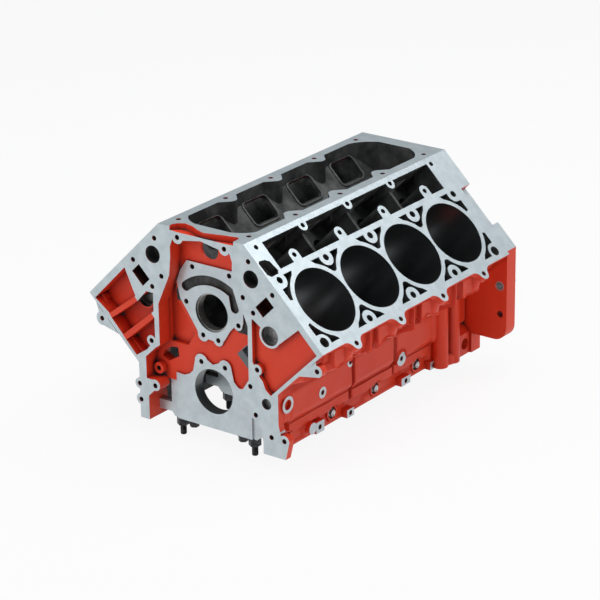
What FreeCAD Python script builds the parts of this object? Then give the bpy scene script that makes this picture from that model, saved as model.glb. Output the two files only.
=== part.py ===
import FreeCAD, Part
import math
import os
from types import SimpleNamespace
import Sketcher

# A bare V8 engine block: one iron casting, five cross-bolted main caps and what is pressed or screwed in.
# +Y runs from the front of the engine to its rear, +Z is up, and +X is the left bank, whose cylinders
# lie further forward. The origin is on the crankshaft axis, in the middle of the front main bearing.

# Every size is written once, in millimetres
SIZES = {
    # Cylinders, camshaft and crankshaft
    "deck_height": 235.2,
    "bore_spacing": 111.76,
    "bank_stagger": 24.13,
    "bore_diameter": 106.3,
    "bore_depth": 143,
    "barrel_wall": 6,
    "cam_height": 124.8,
    "cam_bore": 59.2,
    "main_bore": 69.87,
    "main_width": 18.6,
    # Outside of the casting
    "front_reach": 30.9,
    "rear_overhang": 38.06,
    "rail_height": 254.5,
    "pan_rail_drop": 64,
    "bank_wall": 65,
    "deck_edge": 70,
    "deck_thickness": 10.3,
    "skirt_half_width": 124,
    "gallery_reach": 135,
    "foot_reach": 147,
    "front_flange": 12,
    "rear_flange": 25,
    "flange_reach": 212,
    "flange_foot": 148,
    # Crankcase
    "crankcase_half_width": 107,
    "crankcase_radius": 107,
    "cam_chamber_radius": 34,
    "seal_recess_radius": 60,
    # Timing chest in the front face
    "chest_half_width": 82.5,
    "chest_depth": 21.6,
    "land_height": 3,
    "hollow_depth": 8,
    "pocket_depth": 8,
    "deep_pocket_depth": 25,
    "pocket_floor": 5,
    "pocket_boss_radius": 8.5,
    "pocket_hole_offset": 98,
    "pocket_hole_height": 66,
    "thrust_slot_depth": 5,
    # Deck
    "ear_reach": 77.5,
    "ear_radius": 9.5,
    "ear_flare": 14,
    "head_bolt_radius": 5.5,
    "head_bolt_offset": 54.8,
    "head_bolt_land": 13.5,
    "head_bolt_depth": 50,
    "deck_hole_radius": 4,
    "deck_hole_depth": 20,
    "head_dowel_radius": 8,
    "head_dowel_depth": 12,
    "slot_reach": 60,
    "slot_tip": 35,
    "slot_depth": 45,
    "slot_wall": 7.3,
    "slot_half_length": 33,
    "slot_end_wall": 6.8,
    # Lifter galleries
    "gallery_inner": 69,
    "gallery_outer": 116,
    "gallery_depth": 62,
    "gallery_rib": 5,
    "gallery_rib_drop": 10,
    "gallery_ear_radius": 10,
    "gallery_ear_offset": 79,
    "small_ear_radius": 9,
    "small_ear_offset": 113,
    "lifter_radius": 10.7,
    "lifter_offset": 88.2,
    "lifter_spacing": 42,
    "lifter_depth": 55,
    # Valley
    "valley_half_width": 62,
    "valley_wall": 5,
    "valley_floor": 185,
    "valley_front": 2,
    "valley_boss_reach": 14,
    "valley_boss_depth": 37,
    "valley_bolt_offset": 64.5,
    "valley_window_radius": 16,
    "window_length": 55,
    "window_top": 26,
    "window_bottom": 66,
    "window_corner": 8,
    # Threaded holes of the outer faces
    "cover_hole_radius": 4,
    "cover_hole_depth": 16,
    "pan_hole_radius": 3.4,
    "pan_hole_offset": 115.5,
    "pan_hole_depth": 10,
    "bellhousing_hole_radius": 5.5,
    # Main caps and their fasteners
    "cap_depth": 60,
    "cap_half_width": 70,
    "cap_foot": 77,
    "cap_shoulder": 83,
    "wing_thickness": 13,
    "wing_top": 38,
    "wing_bottom": 53,
    "inner_bolt_offset": 46,
    "outer_stud_offset": 67.5,
    "cap_bolt_radius": 5,
    "cap_bolt_reach": 45,
    "bolt_clearance": 0.2,
    "washer_radius": 9,
    "washer_height": 2,
    "bolt_head_width": 13,
    "bolt_head_height": 9,
    "nut_width": 17,
    "nut_height": 12,
    "stud_tail": 28,
    "side_bolt_radius": 4,
    "side_bolt_height": 46,
    "side_bolt_reach": 24,
    "side_bolt_seat": 123,
    "side_washer_radius": 6.5,
    "side_head_width": 10,
    "side_head_height": 5,
    "side_boss_radius": 12.5,
    "spotface_radius": 9.5,
    "spotface_depth": 4,
    # Pressed-in pieces
    "cam_bearing_wall": 1.9,
    "cam_bearing_setback": 3,
    "oil_gallery_radius": 6.5,
    "oil_gallery_height": 16,
    "oil_gallery_offset": 114,
    "oil_plug_radius": 8.5,
    "oil_plug_depth": 14,
    "oil_plug_length": 7,
    "core_radius": 15,
    "core_ring_radius": 18.5,
    "core_offset": 122,
    "core_height": 124,
    "core_setback": 19,
    "core_depth": 14,
    "core_plug_length": 8,
    "core_plug_wall": 2,
    "dowel_radius": 8,
    "dowel_bore": 5.6,
    "dowel_proud": 9,
    "dowel_offset": 199,
    "dowel_height": 60,
}


class Size:
    """A number that remembers the sheet formula it comes from."""

    def __init__(self, value, text):
        self.value = value
        self.text = text

    def __add__(self, other):
        return Size(self.value + number(other), f"({self.text} + {formula(other)})")

    def __sub__(self, other):
        return Size(self.value - number(other), f"({self.text} - {formula(other)})")

    def __mul__(self, other):
        return Size(self.value * number(other), f"({self.text} * {formula(other)})")

    def __truediv__(self, other):
        return Size(self.value / number(other), f"({self.text} / {formula(other)})")

    def __neg__(self):
        return self * -1

    def __radd__(self, other):
        return self + other

    def __rmul__(self, other):
        return self * other

    def __rsub__(self, other):
        return -self + other


def number(size):
    return size.value if isinstance(size, Size) else float(size)


def formula(size):
    return size.text if isinstance(size, Size) else f"({size:.10g})"


def root(size):
    return Size(math.sqrt(number(size)), f"sqrt({formula(size)})")


doc = FreeCAD.newDocument("EngineBlock")
sheet = doc.addObject("Spreadsheet::Sheet", "Sizes")
for row, (alias, value) in enumerate(SIZES.items(), 1):
    sheet.set(f"A{row}", alias)
    sheet.set(f"B{row}", str(value))
    sheet.setAlias(f"B{row}", alias)
doc.recompute()
dims = SimpleNamespace(**{alias: Size(float(value), f"Sizes.{alias}") for alias, value in SIZES.items()})

# Both banks lean by 45 degrees, so their sine and cosine are this one number
BANK_TILT = 45
LEAN = math.sqrt(0.5)
LEFT = 1
RIGHT = -1
SIDES = (LEFT, RIGHT)
SIDE_NAMES = {LEFT: "left", RIGHT: "right"}
CYLINDERS = 4
MAINS = 5
# How far a cut starts outside the face that it opens
OVERRUN = 2

front = -dims.front_reach
rear = dims.bore_spacing * CYLINDERS + dims.rear_overhang
deck_rear = rear - dims.rear_flange
half_main = dims.main_width / 2
bore_radius = dims.bore_diameter / 2
deck_line = dims.deck_height / LEAN
land_face = front + dims.chest_depth
chest_floor = land_face + dims.land_height
wall_offset = dims.bank_wall / LEAN
pan_face = -dims.pan_rail_drop
below_pan = pan_face - OVERRUN


def main_y(index):
    """Middle of a main bearing, counted from 0 at the front."""
    return dims.bore_spacing * index


def bore_y(side, index):
    """Axis of a cylinder: midway between two mains, the left bank forward and the right bank back."""
    return dims.bore_spacing * (index + 0.5) - dims.bank_stagger / 2 * side


def web_y(side, index):
    """Head bolts stand midway between the cylinders and beyond the first and the last."""
    return bore_y(side, 0) + dims.bore_spacing * (index - 0.5)


def bank_point(side, across, below):
    """X and Z of a point given by its distance across a bank, outwards, and below its deck."""
    along = dims.deck_height - below
    return (along + across) * LEAN * side, (along - across) * LEAN


# Drawing helpers


def bind(thing, name, value):
    if isinstance(value, Size):
        thing.setExpression(name, value.text)


def new_body(name):
    body = doc.addObject("PartDesign::Body", name)
    body.Label = name
    return body


# Bodies that have the shape of what the block's hollows take away
moulds = []


def new_mould(name):
    body = new_body(name)
    moulds.append(body)
    return body


def origin_part(body, role):
    return next(part for part in body.Origin.OriginFeatures if part.Role == role)


def sketch(body, name, role):
    drawing = body.newObject("Sketcher::SketchObject", name + "_outline")
    drawing.AttachmentSupport = [(origin_part(body, role), "")]
    drawing.MapMode = "FlatFace"
    return drawing


def offset_sketch(body, name, role, distance):
    drawing = sketch(body, name, role)
    drawing.AttachmentOffset = FreeCAD.Placement(FreeCAD.Vector(0, 0, number(distance)), FreeCAD.Rotation())
    bind(drawing, "AttachmentOffset.Base.z", distance)
    return drawing


def front_sketch(body, name, y):
    """A drawing in X and Z, seen from the front of the engine, at a place along Y."""
    return offset_sketch(body, name, "XZ_Plane", -1 * y)


def top_sketch(body, name, z):
    """A drawing in X and Y, seen from above, at a height."""
    return offset_sketch(body, name, "XY_Plane", z)


def side_sketch(body, name, x):
    """A drawing in Y and Z, seen from the left side, at a place along X."""
    return offset_sketch(body, name, "YZ_Plane", x)


def turned_sketch(body, name, turn, x, z):
    """A drawing in a plane through a point, turned about the engine's long axis."""
    drawing = sketch(body, name, "XY_Plane")
    rotation = FreeCAD.Rotation(FreeCAD.Vector(0, 1, 0), turn)
    drawing.AttachmentOffset = FreeCAD.Placement(FreeCAD.Vector(number(x), 0, number(z)), rotation)
    bind(drawing, "AttachmentOffset.Base.x", x)
    bind(drawing, "AttachmentOffset.Base.z", z)
    return drawing


def deck_sketch(body, name, side, below=0):
    """A drawing parallel to a deck and below it, facing out: across the bank times the side, then Y."""
    along = dims.deck_height - below
    return turned_sketch(body, name, BANK_TILT * side, along * (LEAN * side), along * LEAN)


def gallery_sketch(body, name, side, across):
    """A drawing square to a deck, facing the valley: distance up the bank times the side, then Y."""
    return turned_sketch(body, name, -BANK_TILT * side, across * (LEAN * side), across * -LEAN)


def add_rules(drawing, rules):
    """Adds constraints and ties each that has a size to the sheet."""
    first = drawing.ConstraintCount
    drawing.addConstraint([rule for rule, _ in rules])
    for index, (_, value) in enumerate(rules, first):
        bind(drawing, f"Constraints[{index}]", value)


def point_rules(index, corner, x, y):
    return [
        (Sketcher.Constraint("DistanceX", -1, 1, index, corner, number(x)), x),
        (Sketcher.Constraint("DistanceY", -1, 1, index, corner, number(y)), y),
    ]


def circle(drawing, x, y, radius):
    centre = FreeCAD.Vector(number(x), number(y), 0)
    index = drawing.addGeometry(Part.Circle(centre, FreeCAD.Vector(0, 0, 1), number(radius)), False)
    rules = [(Sketcher.Constraint("Radius", index, number(radius)), radius)]
    add_rules(drawing, rules + point_rules(index, 3, x, y))


def angle_of(direction):
    return math.atan2(direction.y, direction.x)


def bend_arc(begin, end, radius):
    """The short arc between two points: a positive radius turns left on the way, a negative one right."""
    chord = end - begin
    left = FreeCAD.Vector(-chord.y, chord.x, 0).normalize()
    size = abs(radius)
    depth = math.sqrt(max(size ** 2 - (chord.Length / 2) ** 2, 0))
    centre = (begin + end) / 2 + left * math.copysign(depth, radius)
    low, high = (begin, end) if radius > 0 else (end, begin)
    turn = Part.Circle(centre, FreeCAD.Vector(0, 0, 1), size)
    return Part.ArcOfCircle(turn, angle_of(low - centre), angle_of(high - centre))


def bend_of(corner):
    return corner[2] if len(corner) > 2 else 0


def outline(drawing, corners):
    """A closed outline: each corner is x, y and, where an arc leads to it, that arc's radius."""
    ends = [FreeCAD.Vector(number(corner[0]), number(corner[1]), 0) for corner in corners]
    first = drawing.GeometryCount
    edges = []
    rules = []
    for index, corner in enumerate(corners):
        bend = number(bend_of(corner))
        edge = bend_arc(ends[index - 1], ends[index], bend) if bend else Part.LineSegment(ends[index - 1], ends[index])
        edges.append(edge)
        # An arc that turns right is kept the other way round, so its first end is the later one
        start, stop = (2, 1) if bend < 0 else (1, 2)
        last_stop = 1 if number(bend_of(corners[index - 1])) < 0 else 2
        before = first + (index - 1) % len(corners)
        rules.append((Sketcher.Constraint("Coincident", before, last_stop, first + index, start), None))
        rules += point_rules(first + index, stop, corner[0], corner[1])
        if bend:
            radius = corner[2] if bend > 0 else -1 * corner[2]
            rules.append((Sketcher.Constraint("Radius", first + index, number(radius)), radius))
    drawing.addGeometry(edges, False)
    add_rules(drawing, rules)


def box(drawing, x0, x1, y0, y1):
    outline(drawing, [(x0, y0), (x1, y0), (x1, y1), (x0, y1)])


def rounded_box(drawing, x0, x1, y0, y1, radius):
    corners = [
        (x0 + radius, y0, radius),
        (x1 - radius, y0),
        (x1, y0 + radius, radius),
        (x1, y1 - radius),
        (x1 - radius, y1, radius),
        (x0 + radius, y1),
        (x0, y1 - radius, radius),
        (x0, y0 + radius),
    ]
    outline(drawing, corners)


def hexagon(drawing, x, y, width):
    """A bolt's six sides, by the width across its flats."""
    corner = width / math.sqrt(3)
    sides = [(turn * math.pi / 3) for turn in range(6)]
    outline(drawing, [(x + corner * math.cos(turn), y + corner * math.sin(turn)) for turn in sides])


def both_sides(half):
    """A whole outline from its left half, listed from the bottom up."""
    other = []
    for index in range(len(half) - 1, -1, -1):
        bend = half[index + 1][2:] if index + 1 < len(half) else ()
        other.append((-1 * half[index][0], half[index][1], *bend))
    return half + other


def feature(body, kind, name, drawing, length, backwards):
    item = body.newObject(kind, name)
    item.Profile = drawing
    item.Reversed = backwards
    item.Length = number(length)
    bind(item, "Length", length)
    item.Refine = False
    body.Tip = item
    return item


def pad(body, name, drawing, length, backwards=False):
    """Adds material along a drawing's normal, or the other way."""
    return feature(body, "PartDesign::Pad", name, drawing, length, backwards)


def pocket(body, name, drawing, length, backwards=False):
    """Cuts material away against a drawing's normal, or along it. A mould gets the hollow's own shape."""
    if body in moulds:
        return feature(body, "PartDesign::Pad", name, drawing, length, not backwards)
    return feature(body, "PartDesign::Pocket", name, drawing, length, backwards)


def front_pad(body, name, y, outlines, length):
    """Pads outlines rearwards from a place along the engine."""
    drawing = front_sketch(body, name, y)
    for corners in outlines:
        outline(drawing, corners)
    return pad(body, name, drawing, length, backwards=True)


def front_pocket(body, name, y, outlines, length):
    """Cuts outlines rearwards from a place along the engine."""
    drawing = front_sketch(body, name, y)
    for corners in outlines:
        outline(drawing, corners)
    return pocket(body, name, drawing, length)


def holes(body, name, drawing, spots, radius, depth, backwards=False):
    """Drills the same hole at many spots of a drawing."""
    for x, y in spots:
        circle(drawing, x, y, radius)
    return pocket(body, name, drawing, depth, backwards)


def bosses(body, name, drawing, spots, height, backwards=False):
    """Raises round bosses, each given by its x, y and radius."""
    for x, y, radius in spots:
        circle(drawing, x, y, radius)
    return pad(body, name, drawing, height, backwards)


# Outside of the casting


def add_core(body):
    """The solid V that both banks, the valley and the crankcase are cut from."""
    half = [
        (dims.skirt_half_width, pan_face),
        (dims.skirt_half_width, dims.skirt_half_width - wall_offset),
        bank_point(LEFT, dims.bank_wall, 0),
        (deck_line - dims.rail_height, dims.rail_height),
    ]
    front_pad(body, "core", front, [both_sides(half)], deck_rear - front)


def ear_bulge(line, reach, y, radius, flare, side):
    """The part of an outline that swings out round a bolt ear, listed along rising Y."""
    lift = line + flare - reach
    run = root((radius + flare) * (radius + flare) - lift * lift)
    share = radius / (radius + flare)
    neck = reach + share * lift
    tip = share * run
    bend = -1 * flare * side
    return [
        (line * side, y - run),
        (neck * side, y - tip, bend),
        (neck * side, y + tip, radius * side),
        (line * side, y + run, bend),
    ]


def add_deck_flange(body, side):
    """The thick edge of a deck with an ear beside each cylinder."""
    name = f"{SIDE_NAMES[side]}_deck_flange"
    drawing = deck_sketch(body, name, side)
    inner = (dims.bank_wall - OVERRUN) * side
    corners = [(inner, front), (dims.deck_edge * side, front)]
    for index in range(CYLINDERS):
        y = bore_y(side, index)
        corners += ear_bulge(dims.deck_edge, dims.ear_reach, y, dims.ear_radius, dims.ear_flare, side)
    corners += [(dims.deck_edge * side, deck_rear), (inner, deck_rear)]
    outline(drawing, corners)
    pad(body, name, drawing, dims.deck_thickness, backwards=True)


def add_oil_gallery_rib(body):
    """The rib along the left side that the main oil gallery is drilled in."""
    inner = dims.skirt_half_width - OVERRUN
    reach = dims.gallery_reach
    under = dims.oil_gallery_height - 28
    corners = [
        (inner, under - 7),
        (dims.skirt_half_width, under - 7),
        (reach, under),
        (reach, dims.oil_gallery_height + 19),
        (reach - 3, reach - 3 - wall_offset),
        (inner, inner - wall_offset),
    ]
    front_pad(body, "oil_gallery_rib", front, [corners], deck_rear - front)


def add_front_flange(body):
    """The front face is wider than what is behind it: a rim along each bank, feet, webs and ears."""
    inner = dims.skirt_half_width - OVERRUN
    edge_offset = dims.deck_edge / LEAN
    rim_top = bank_point(LEFT, dims.deck_edge, 0)
    rim_root = bank_point(LEFT, dims.bank_wall - OVERRUN, 0)
    foot = dims.foot_reach
    left_rim = [
        (inner, pan_face),
        (foot, pan_face),
        (foot + 6, -40),
        (foot - 8, -28),
        (dims.gallery_reach, -12),
        (dims.gallery_reach, dims.gallery_reach - edge_offset),
        rim_top,
        rim_root,
        (inner, inner - wall_offset + OVERRUN),
    ]
    right_rim = [
        (-1 * inner, -20),
        (-1 * dims.skirt_half_width, -20),
        (-1 * dims.skirt_half_width, dims.skirt_half_width - edge_offset),
        (-1 * rim_top[0], rim_top[1]),
        (-1 * rim_root[0], rim_root[1]),
        (-1 * inner, inner - wall_offset + OVERRUN),
    ]
    front_pad(body, "left_front_rim", front, [left_rim], dims.front_flange)
    front_pad(body, "right_front_rim", front, [right_rim], dims.deep_pocket_depth + dims.pocket_floor)
    left_web = [(172, 74), (205, 80), (203, 103)]
    right_web = [(-203, 103), (-193, 70), (-162, 62)]
    front_pad(body, "front_webs", front, [left_web, right_web], dims.front_flange)
    drawing = front_sketch(body, "front_ears", front)
    ears = [(145, -35, 9), (205, 89, 9), (-124, -9, 8.5), (-122, -34, 9), (-193, 80, 11)]
    bosses(body, "front_ears", drawing, ears, dims.front_flange, backwards=True)


def add_rear_flange(body):
    """The wide flange that carries the bellhousing, notched where it meets each deck."""
    reach = dims.flange_reach
    notch = (17, -57)
    notch_depth = 12
    half = [
        (dims.flange_foot, pan_face),
        (dims.flange_foot, -31),
        (reach - 22, -31),
        (reach, -9, 22),
        (reach, deck_line - reach),
        bank_point(LEFT, notch[0], 0),
        bank_point(LEFT, notch[0], notch_depth),
        bank_point(LEFT, notch[1], notch_depth),
        bank_point(LEFT, notch[1], 0),
        (deck_line - dims.rail_height, dims.rail_height),
    ]
    front_pad(body, "rear_flange", deck_rear, [both_sides(half)], dims.rear_flange)
    foot = dims.flange_foot - 4
    inner = dims.skirt_half_width - OVERRUN
    shoulder = [(inner, pan_face), (foot, pan_face), (foot, -28), (foot - 14, -16), (inner, -16)]
    mirror = [(-1 * x, z) for x, z in shoulder]
    length = dims.front_flange * 4
    front_pad(body, "rear_shoulders", deck_rear - length, [shoulder, mirror], length)


def side_bolt_spots():
    return [(main_y(index), -1 * dims.side_bolt_height) for index in range(MAINS)]


def add_skirt_bosses(body):
    """Mount pads, round bosses and side bolt seats on the two sides of the skirt."""
    inner = dims.skirt_half_width - OVERRUN
    left = side_sketch(body, "left_pads", inner)
    for y0, y1, z0, z1 in ((60, 80, -60, -42), (49, 61, -49, -44), (138, 156, -63, -50), (282, 306, -63, -50), (361, 380, -63, -50)):
        box(left, y0, y1, z0, z1)
    pad(body, "left_pads", left, dims.gallery_reach + 1 - inner)
    rings = side_sketch(body, "left_rings", inner)
    spots = [(-11, 14, 13), (74, 3, 9), (145, 27, 8), (279, -14, 12), (49, -46, 9)]
    bosses(body, "left_rings", rings, spots, dims.gallery_reach + 3 - inner)
    for side in SIDES:
        name = f"{SIDE_NAMES[side]}_bolt_seats"
        seats = side_sketch(body, name, dims.crankcase_half_width * side)
        spots = [(y, z, dims.side_boss_radius) for y, z in side_bolt_spots()]
        reach = dims.side_bolt_seat + dims.spotface_depth - dims.crankcase_half_width
        bosses(body, name, seats, spots, reach, backwards=side == RIGHT)


# Timing chest and pockets of the front face


def cut_chest(body):
    """The timing chest: open below, arched over the top, with bolt bosses along its rim."""
    rail = dims.crankcase_half_width
    wall = dims.chest_half_width
    corners = [
        (-1 * rail, below_pan),
        (rail, below_pan),
        (rail, -45),
        (104, -25),
        (86, -10),
        (86, -2, -9),
        (72, 1),
        (57, 15, -14),
        (71, 29, -14),
        (76.5, 37),
        (wall, 46),
        (wall, 130),
        (70, 160),
        (60, 178),
        (56, 200),
        (57, 223),
        (52, 236),
        (43, 230, -10),
        (33.5, 237, -10),
        (0, 243),
        (-33.5, 237),
        (-43, 230, -10),
        (-52, 236, -10),
        (-57, 223),
        (-57, 208),
        (-60, 178),
        (-1 * wall, 128),
        (-1 * wall, 62),
        (-90, 57),
        (-110, 38),
        (-110, 3),
        (-98, 3),
        (-85, -5, -9),
        (-96, -14, -9),
        (-1 * rail, -25),
    ]
    front_pocket(body, "chest", front, [corners], dims.chest_depth + dims.land_height)


def cut_bank_pockets(body):
    """Hollows of the front face beside the chest: shallow on the left, deep and ribbed on the right."""
    left = [
        (103, 55),
        (108, 50),
        (113, 38),
        (122, 31),
        (205, 113),
        (173, 145),
        (137.6, 114.1),
        (122, 105.5, -18.5),
        (103.5, 124, -18.5),
        (106, 134, -18.5),
        (92, 143),
        (90, 143),
        (90, 77),
    ]
    front_pocket(body, "left_bank_pocket", front, [left], dims.pocket_depth)
    right = [
        [(-91, 104), (-91, 70), (-107, 50), (-128, 36), (-147, 56)],
        [(-92, 143), (-92, 114), (-153, 63), (-174, 85), (-122, 124), (-105, 143)],
        [(-145, 172), (-126, 131), (-178, 92), (-205, 111)],
    ]
    front_pocket(body, "right_bank_pockets", front, right, dims.deep_pocket_depth)


def add_core_ring(body):
    """The ring round the right bank's core hole, which stands in the deep pocket."""
    ring = front_sketch(body, "right_core_ring", front + dims.core_setback)
    spots = [(-1 * dims.core_offset, dims.core_height, dims.core_ring_radius)]
    bosses(body, "right_core_ring", ring, spots, dims.pocket_depth, backwards=True)


def add_pocket_bosses(body):
    """Bosses round the two cover holes that lie on the edge of the pockets."""
    drawing = front_sketch(body, "pocket_bosses", front)
    spots = [(dims.pocket_hole_offset * side, dims.pocket_hole_height, dims.pocket_boss_radius) for side in SIDES]
    bosses(body, "pocket_bosses", drawing, spots, dims.deep_pocket_depth + 2, backwards=True)


def add_front_barrel(body):
    """The first left cylinder's barrel, which bulges into the chest."""
    drawing = deck_sketch(body, "front_barrel", LEFT, dims.gallery_depth)
    circle(drawing, 0, bore_y(LEFT, 0), bore_radius + dims.barrel_wall)
    pad(body, "front_barrel", drawing, dims.bore_depth - dims.gallery_depth - 20, backwards=True)


def add_chest_lands(body):
    """Machined lands on the chest's floor: the thrust plate's, the crankshaft's, and a ring."""
    cam_plate = [
        (-44, 198),
        (-50, 190),
        (-57, 180),
        (-64, 160),
        (-58, 135),
        (-45, 117),
        (-28, 92),
        (-26.5, 89),
        (-17, 76.5, 10),
        (-8, 82, 10),
        (2.5, 81),
        (11, 75, 9),
        (20, 83, 9),
        (25, 90),
        (33, 103),
        (41, 112),
        (48, 108, 8),
        (56, 116, 8),
        (58, 122),
        (58, 180),
        (44, 198),
    ]
    collar = [
        (-70, 15),
        (-70, 0),
        (70, 0),
        (70, 15),
        (55, 14),
        (45, 18),
        (38, 25),
        (34, 43),
        (22, 55, 12),
        (11, 48, 12),
        (0, 43),
        (-11, 48),
        (-22, 55, 12),
        (-34, 43, 12),
        (-38, 25),
        (-45, 18),
        (-55, 14),
    ]
    front_pad(body, "chest_lands", land_face, [cam_plate, collar], dims.land_height + OVERRUN)
    ring = front_sketch(body, "chest_ring", land_face - 7)
    bosses(body, "chest_ring", ring, [(-98, 17, 9)], dims.land_height + 7 + OVERRUN, backwards=True)


def cut_chest_details(body):
    """The hollow beside the thrust plate, the oil drain, the thrust slot and a window to the valley."""
    hollow = [(-80, 62), (-48, 62), (-34, 84), (-50, 108), (-66, 132), (-69, 160), (-66, 170), (-80, 140)]
    front_pocket(body, "chest_hollow", chest_floor, [hollow], dims.hollow_depth)
    drain = [(-86, 28), (-66, 40), (-68, 54), (-82, 52), (-94, 44), (-98, 34)]
    front_pocket(body, "chest_drain", land_face, [drain], half_main + OVERRUN - land_face)
    inner = 64.5
    outer = 79.5
    slot = [
        (39.75, 171.3),
        (0, 182, outer),
        (-53, 161.8, outer),
        (-43, 150.6, 7.6),
        (0, 167, -inner),
        (32.25, 158.4, -inner),
        (35.6, 139),
        (50.4, 141.5, 7.6),
    ]
    front_pocket(body, "thrust_slot", land_face, [slot], dims.thrust_slot_depth)
    window = front_sketch(body, "valley_window", land_face)
    holes(body, "valley_window", window, [(-3, 222)], dims.valley_window_radius, 12)


# Inside of the casting


def cut_ends(body):
    """The space for the main caps, open from end to end, and the rear seal's recess."""
    rail = dims.crankcase_half_width
    under = [(rail, below_pan), (rail, 0), (-1 * rail, 0), (-1 * rail, below_pan)]
    front_pocket(body, "cap_space", chest_floor - OVERRUN, [under], rear - chest_floor + 2 * OVERRUN)
    start = main_y(MAINS - 1) + half_main
    radius = dims.seal_recess_radius
    recess = [(radius, -OVERRUN), (radius, 0), (0, radius, radius), (-1 * radius, 0, radius), (-1 * radius, -OVERRUN)]
    front_pocket(body, "seal_recess", start, [recess], rear - start + OVERRUN)


def cut_crankcase(body):
    """Four bays between the main bulkheads, with room for the camshaft above."""
    rail = dims.crankcase_half_width
    big = dims.crankcase_radius
    small = dims.cam_chamber_radius
    meet_z = (big * big - small * small + dims.cam_height * dims.cam_height) / (2 * dims.cam_height)
    meet_x = root(big * big - meet_z * meet_z)
    corners = [
        (rail, below_pan),
        (rail, 0),
        (meet_x, meet_z, big),
        (0, dims.cam_height + small, small),
        (-1 * meet_x, meet_z, small),
        (-1 * rail, 0, big),
        (-1 * rail, below_pan),
    ]
    bay = front_pocket(body, "bay", half_main, [corners], dims.bore_spacing - dims.main_width)
    bays = body.newObject("PartDesign::LinearPattern", "bays")
    bays.Originals = [bay]
    bays.Direction = (origin_part(body, "Y_Axis"), [""])
    bays.Occurrences = CYLINDERS
    bays.Length = number(dims.bore_spacing) * (CYLINDERS - 1)
    bind(bays, "Length", dims.bore_spacing * (CYLINDERS - 1))
    bays.Refine = False
    body.Tip = bays


def cut_shaft_bores(body):
    """The main bearing line and the camshaft line."""
    drawing = front_sketch(body, "shaft_bores", front - OVERRUN)
    circle(drawing, 0, 0, dims.main_bore / 2)
    circle(drawing, 0, dims.cam_height, dims.cam_bore / 2)
    pocket(body, "shaft_bores", drawing, rear - front + 2 * OVERRUN)


def cut_valley(body):
    """The valley between the banks, with sloping walls."""
    half_width = dims.valley_half_width
    slope = (dims.gallery_outer + dims.valley_wall) / LEAN
    start = -1 * dims.valley_front
    stop = deck_rear - 1
    half = [
        (dims.valley_floor - slope, dims.valley_floor),
        (half_width, half_width + slope),
        (half_width, dims.rail_height + OVERRUN),
    ]
    front_pocket(body, "valley", start, [both_sides(half)], stop - start)


def add_valley_bosses(body):
    """Bolt bosses along the valley's walls, and the rounded fill of its four corners."""
    half_width = dims.valley_half_width
    start = -1 * dims.valley_front
    stop = deck_rear - 1
    edge = half_width + OVERRUN
    drawing = top_sketch(body, "valley_bosses", dims.rail_height)
    for side in SIDES:
        for index in range(1, MAINS - 1):
            y = main_y(index)
            reach = half_width - dims.valley_boss_reach
            corners = [
                (edge * side, y - 24),
                (edge * side, y + 24),
                (half_width * side, y + 22),
                (reach * side, y + 7),
                (reach * side, y - 7, 13 * side),
                (half_width * side, y - 22),
            ]
            outline(drawing, corners)
    pad(body, "valley_bosses", drawing, dims.valley_boss_depth, backwards=True)
    fill = top_sketch(body, "valley_corners", dims.rail_height)
    for side in SIDES:
        for end, way, run, bend in ((start, 1, 22, 48), (stop, -1, 35, 60)):
            corners = [
                (25 * side, end - way, -bend * side * way),
                (edge * side, end - way),
                (edge * side, end + run * way),
                (half_width * side, end + run * way),
            ]
            outline(fill, corners)
    pad(body, "valley_corners", fill, dims.rail_height - dims.valley_floor + OVERRUN, backwards=True)


def gallery_rib_y(side, index):
    """A rib stands midway between two neighbouring cylinders of its bank."""
    return web_y(side, index)


def cut_gallery(body, side):
    """The lifter gallery inside a bank: one trough, split lower down by thin ribs."""
    name = SIDE_NAMES[side]
    inner = dims.gallery_inner * -side
    outer = dims.gallery_outer * -side
    first = front + 35
    last = deck_rear - 35
    trough = deck_sketch(body, f"{name}_trough", side)
    box(trough, inner, outer, first, last)
    pocket(body, f"{name}_trough", trough, dims.gallery_rib_drop)
    cells = deck_sketch(body, f"{name}_gallery", side)
    half_rib = dims.gallery_rib / 2
    for index in range(CYLINDERS):
        low = web_y(side, index) + half_rib if index > 0 else first
        high = web_y(side, index + 1) - half_rib if index < CYLINDERS - 1 else last
        box(cells, inner, outer, low, high)
    pocket(body, f"{name}_gallery", cells, dims.gallery_depth)


def gallery_ear(side, wall, centre, radius, y):
    """A half-round boss on a wall of the gallery: its centre lies off the wall, inside the trough."""
    way = 1 if number(centre) > number(wall) else -1
    heel = (wall - OVERRUN * way) * -side
    neck = centre * -side
    tip = (centre + radius * way) * -side
    bend = radius * (side * way)
    return [
        (heel, y - radius),
        (heel, y + radius),
        (neck, y + radius),
        (tip, y, bend),
        (neck, y - radius, bend),
    ]


def add_gallery_ears(body, side):
    """Bolt bosses in the gallery: large ones along its cylinder wall, small ones along its valley wall."""
    name = f"{SIDE_NAMES[side]}_gallery_ears"
    drawing = deck_sketch(body, name, side)
    for index in range(CYLINDERS):
        y = bore_y(side, index) + 2.5
        outline(drawing, gallery_ear(side, dims.gallery_inner, dims.gallery_ear_offset, dims.gallery_ear_radius, y))
    for index in range(1, CYLINDERS):
        y = web_y(side, index)
        outline(drawing, gallery_ear(side, dims.gallery_outer, dims.small_ear_offset, dims.small_ear_radius, y))
    pad(body, name, drawing, dims.gallery_depth + OVERRUN, backwards=True)


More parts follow.
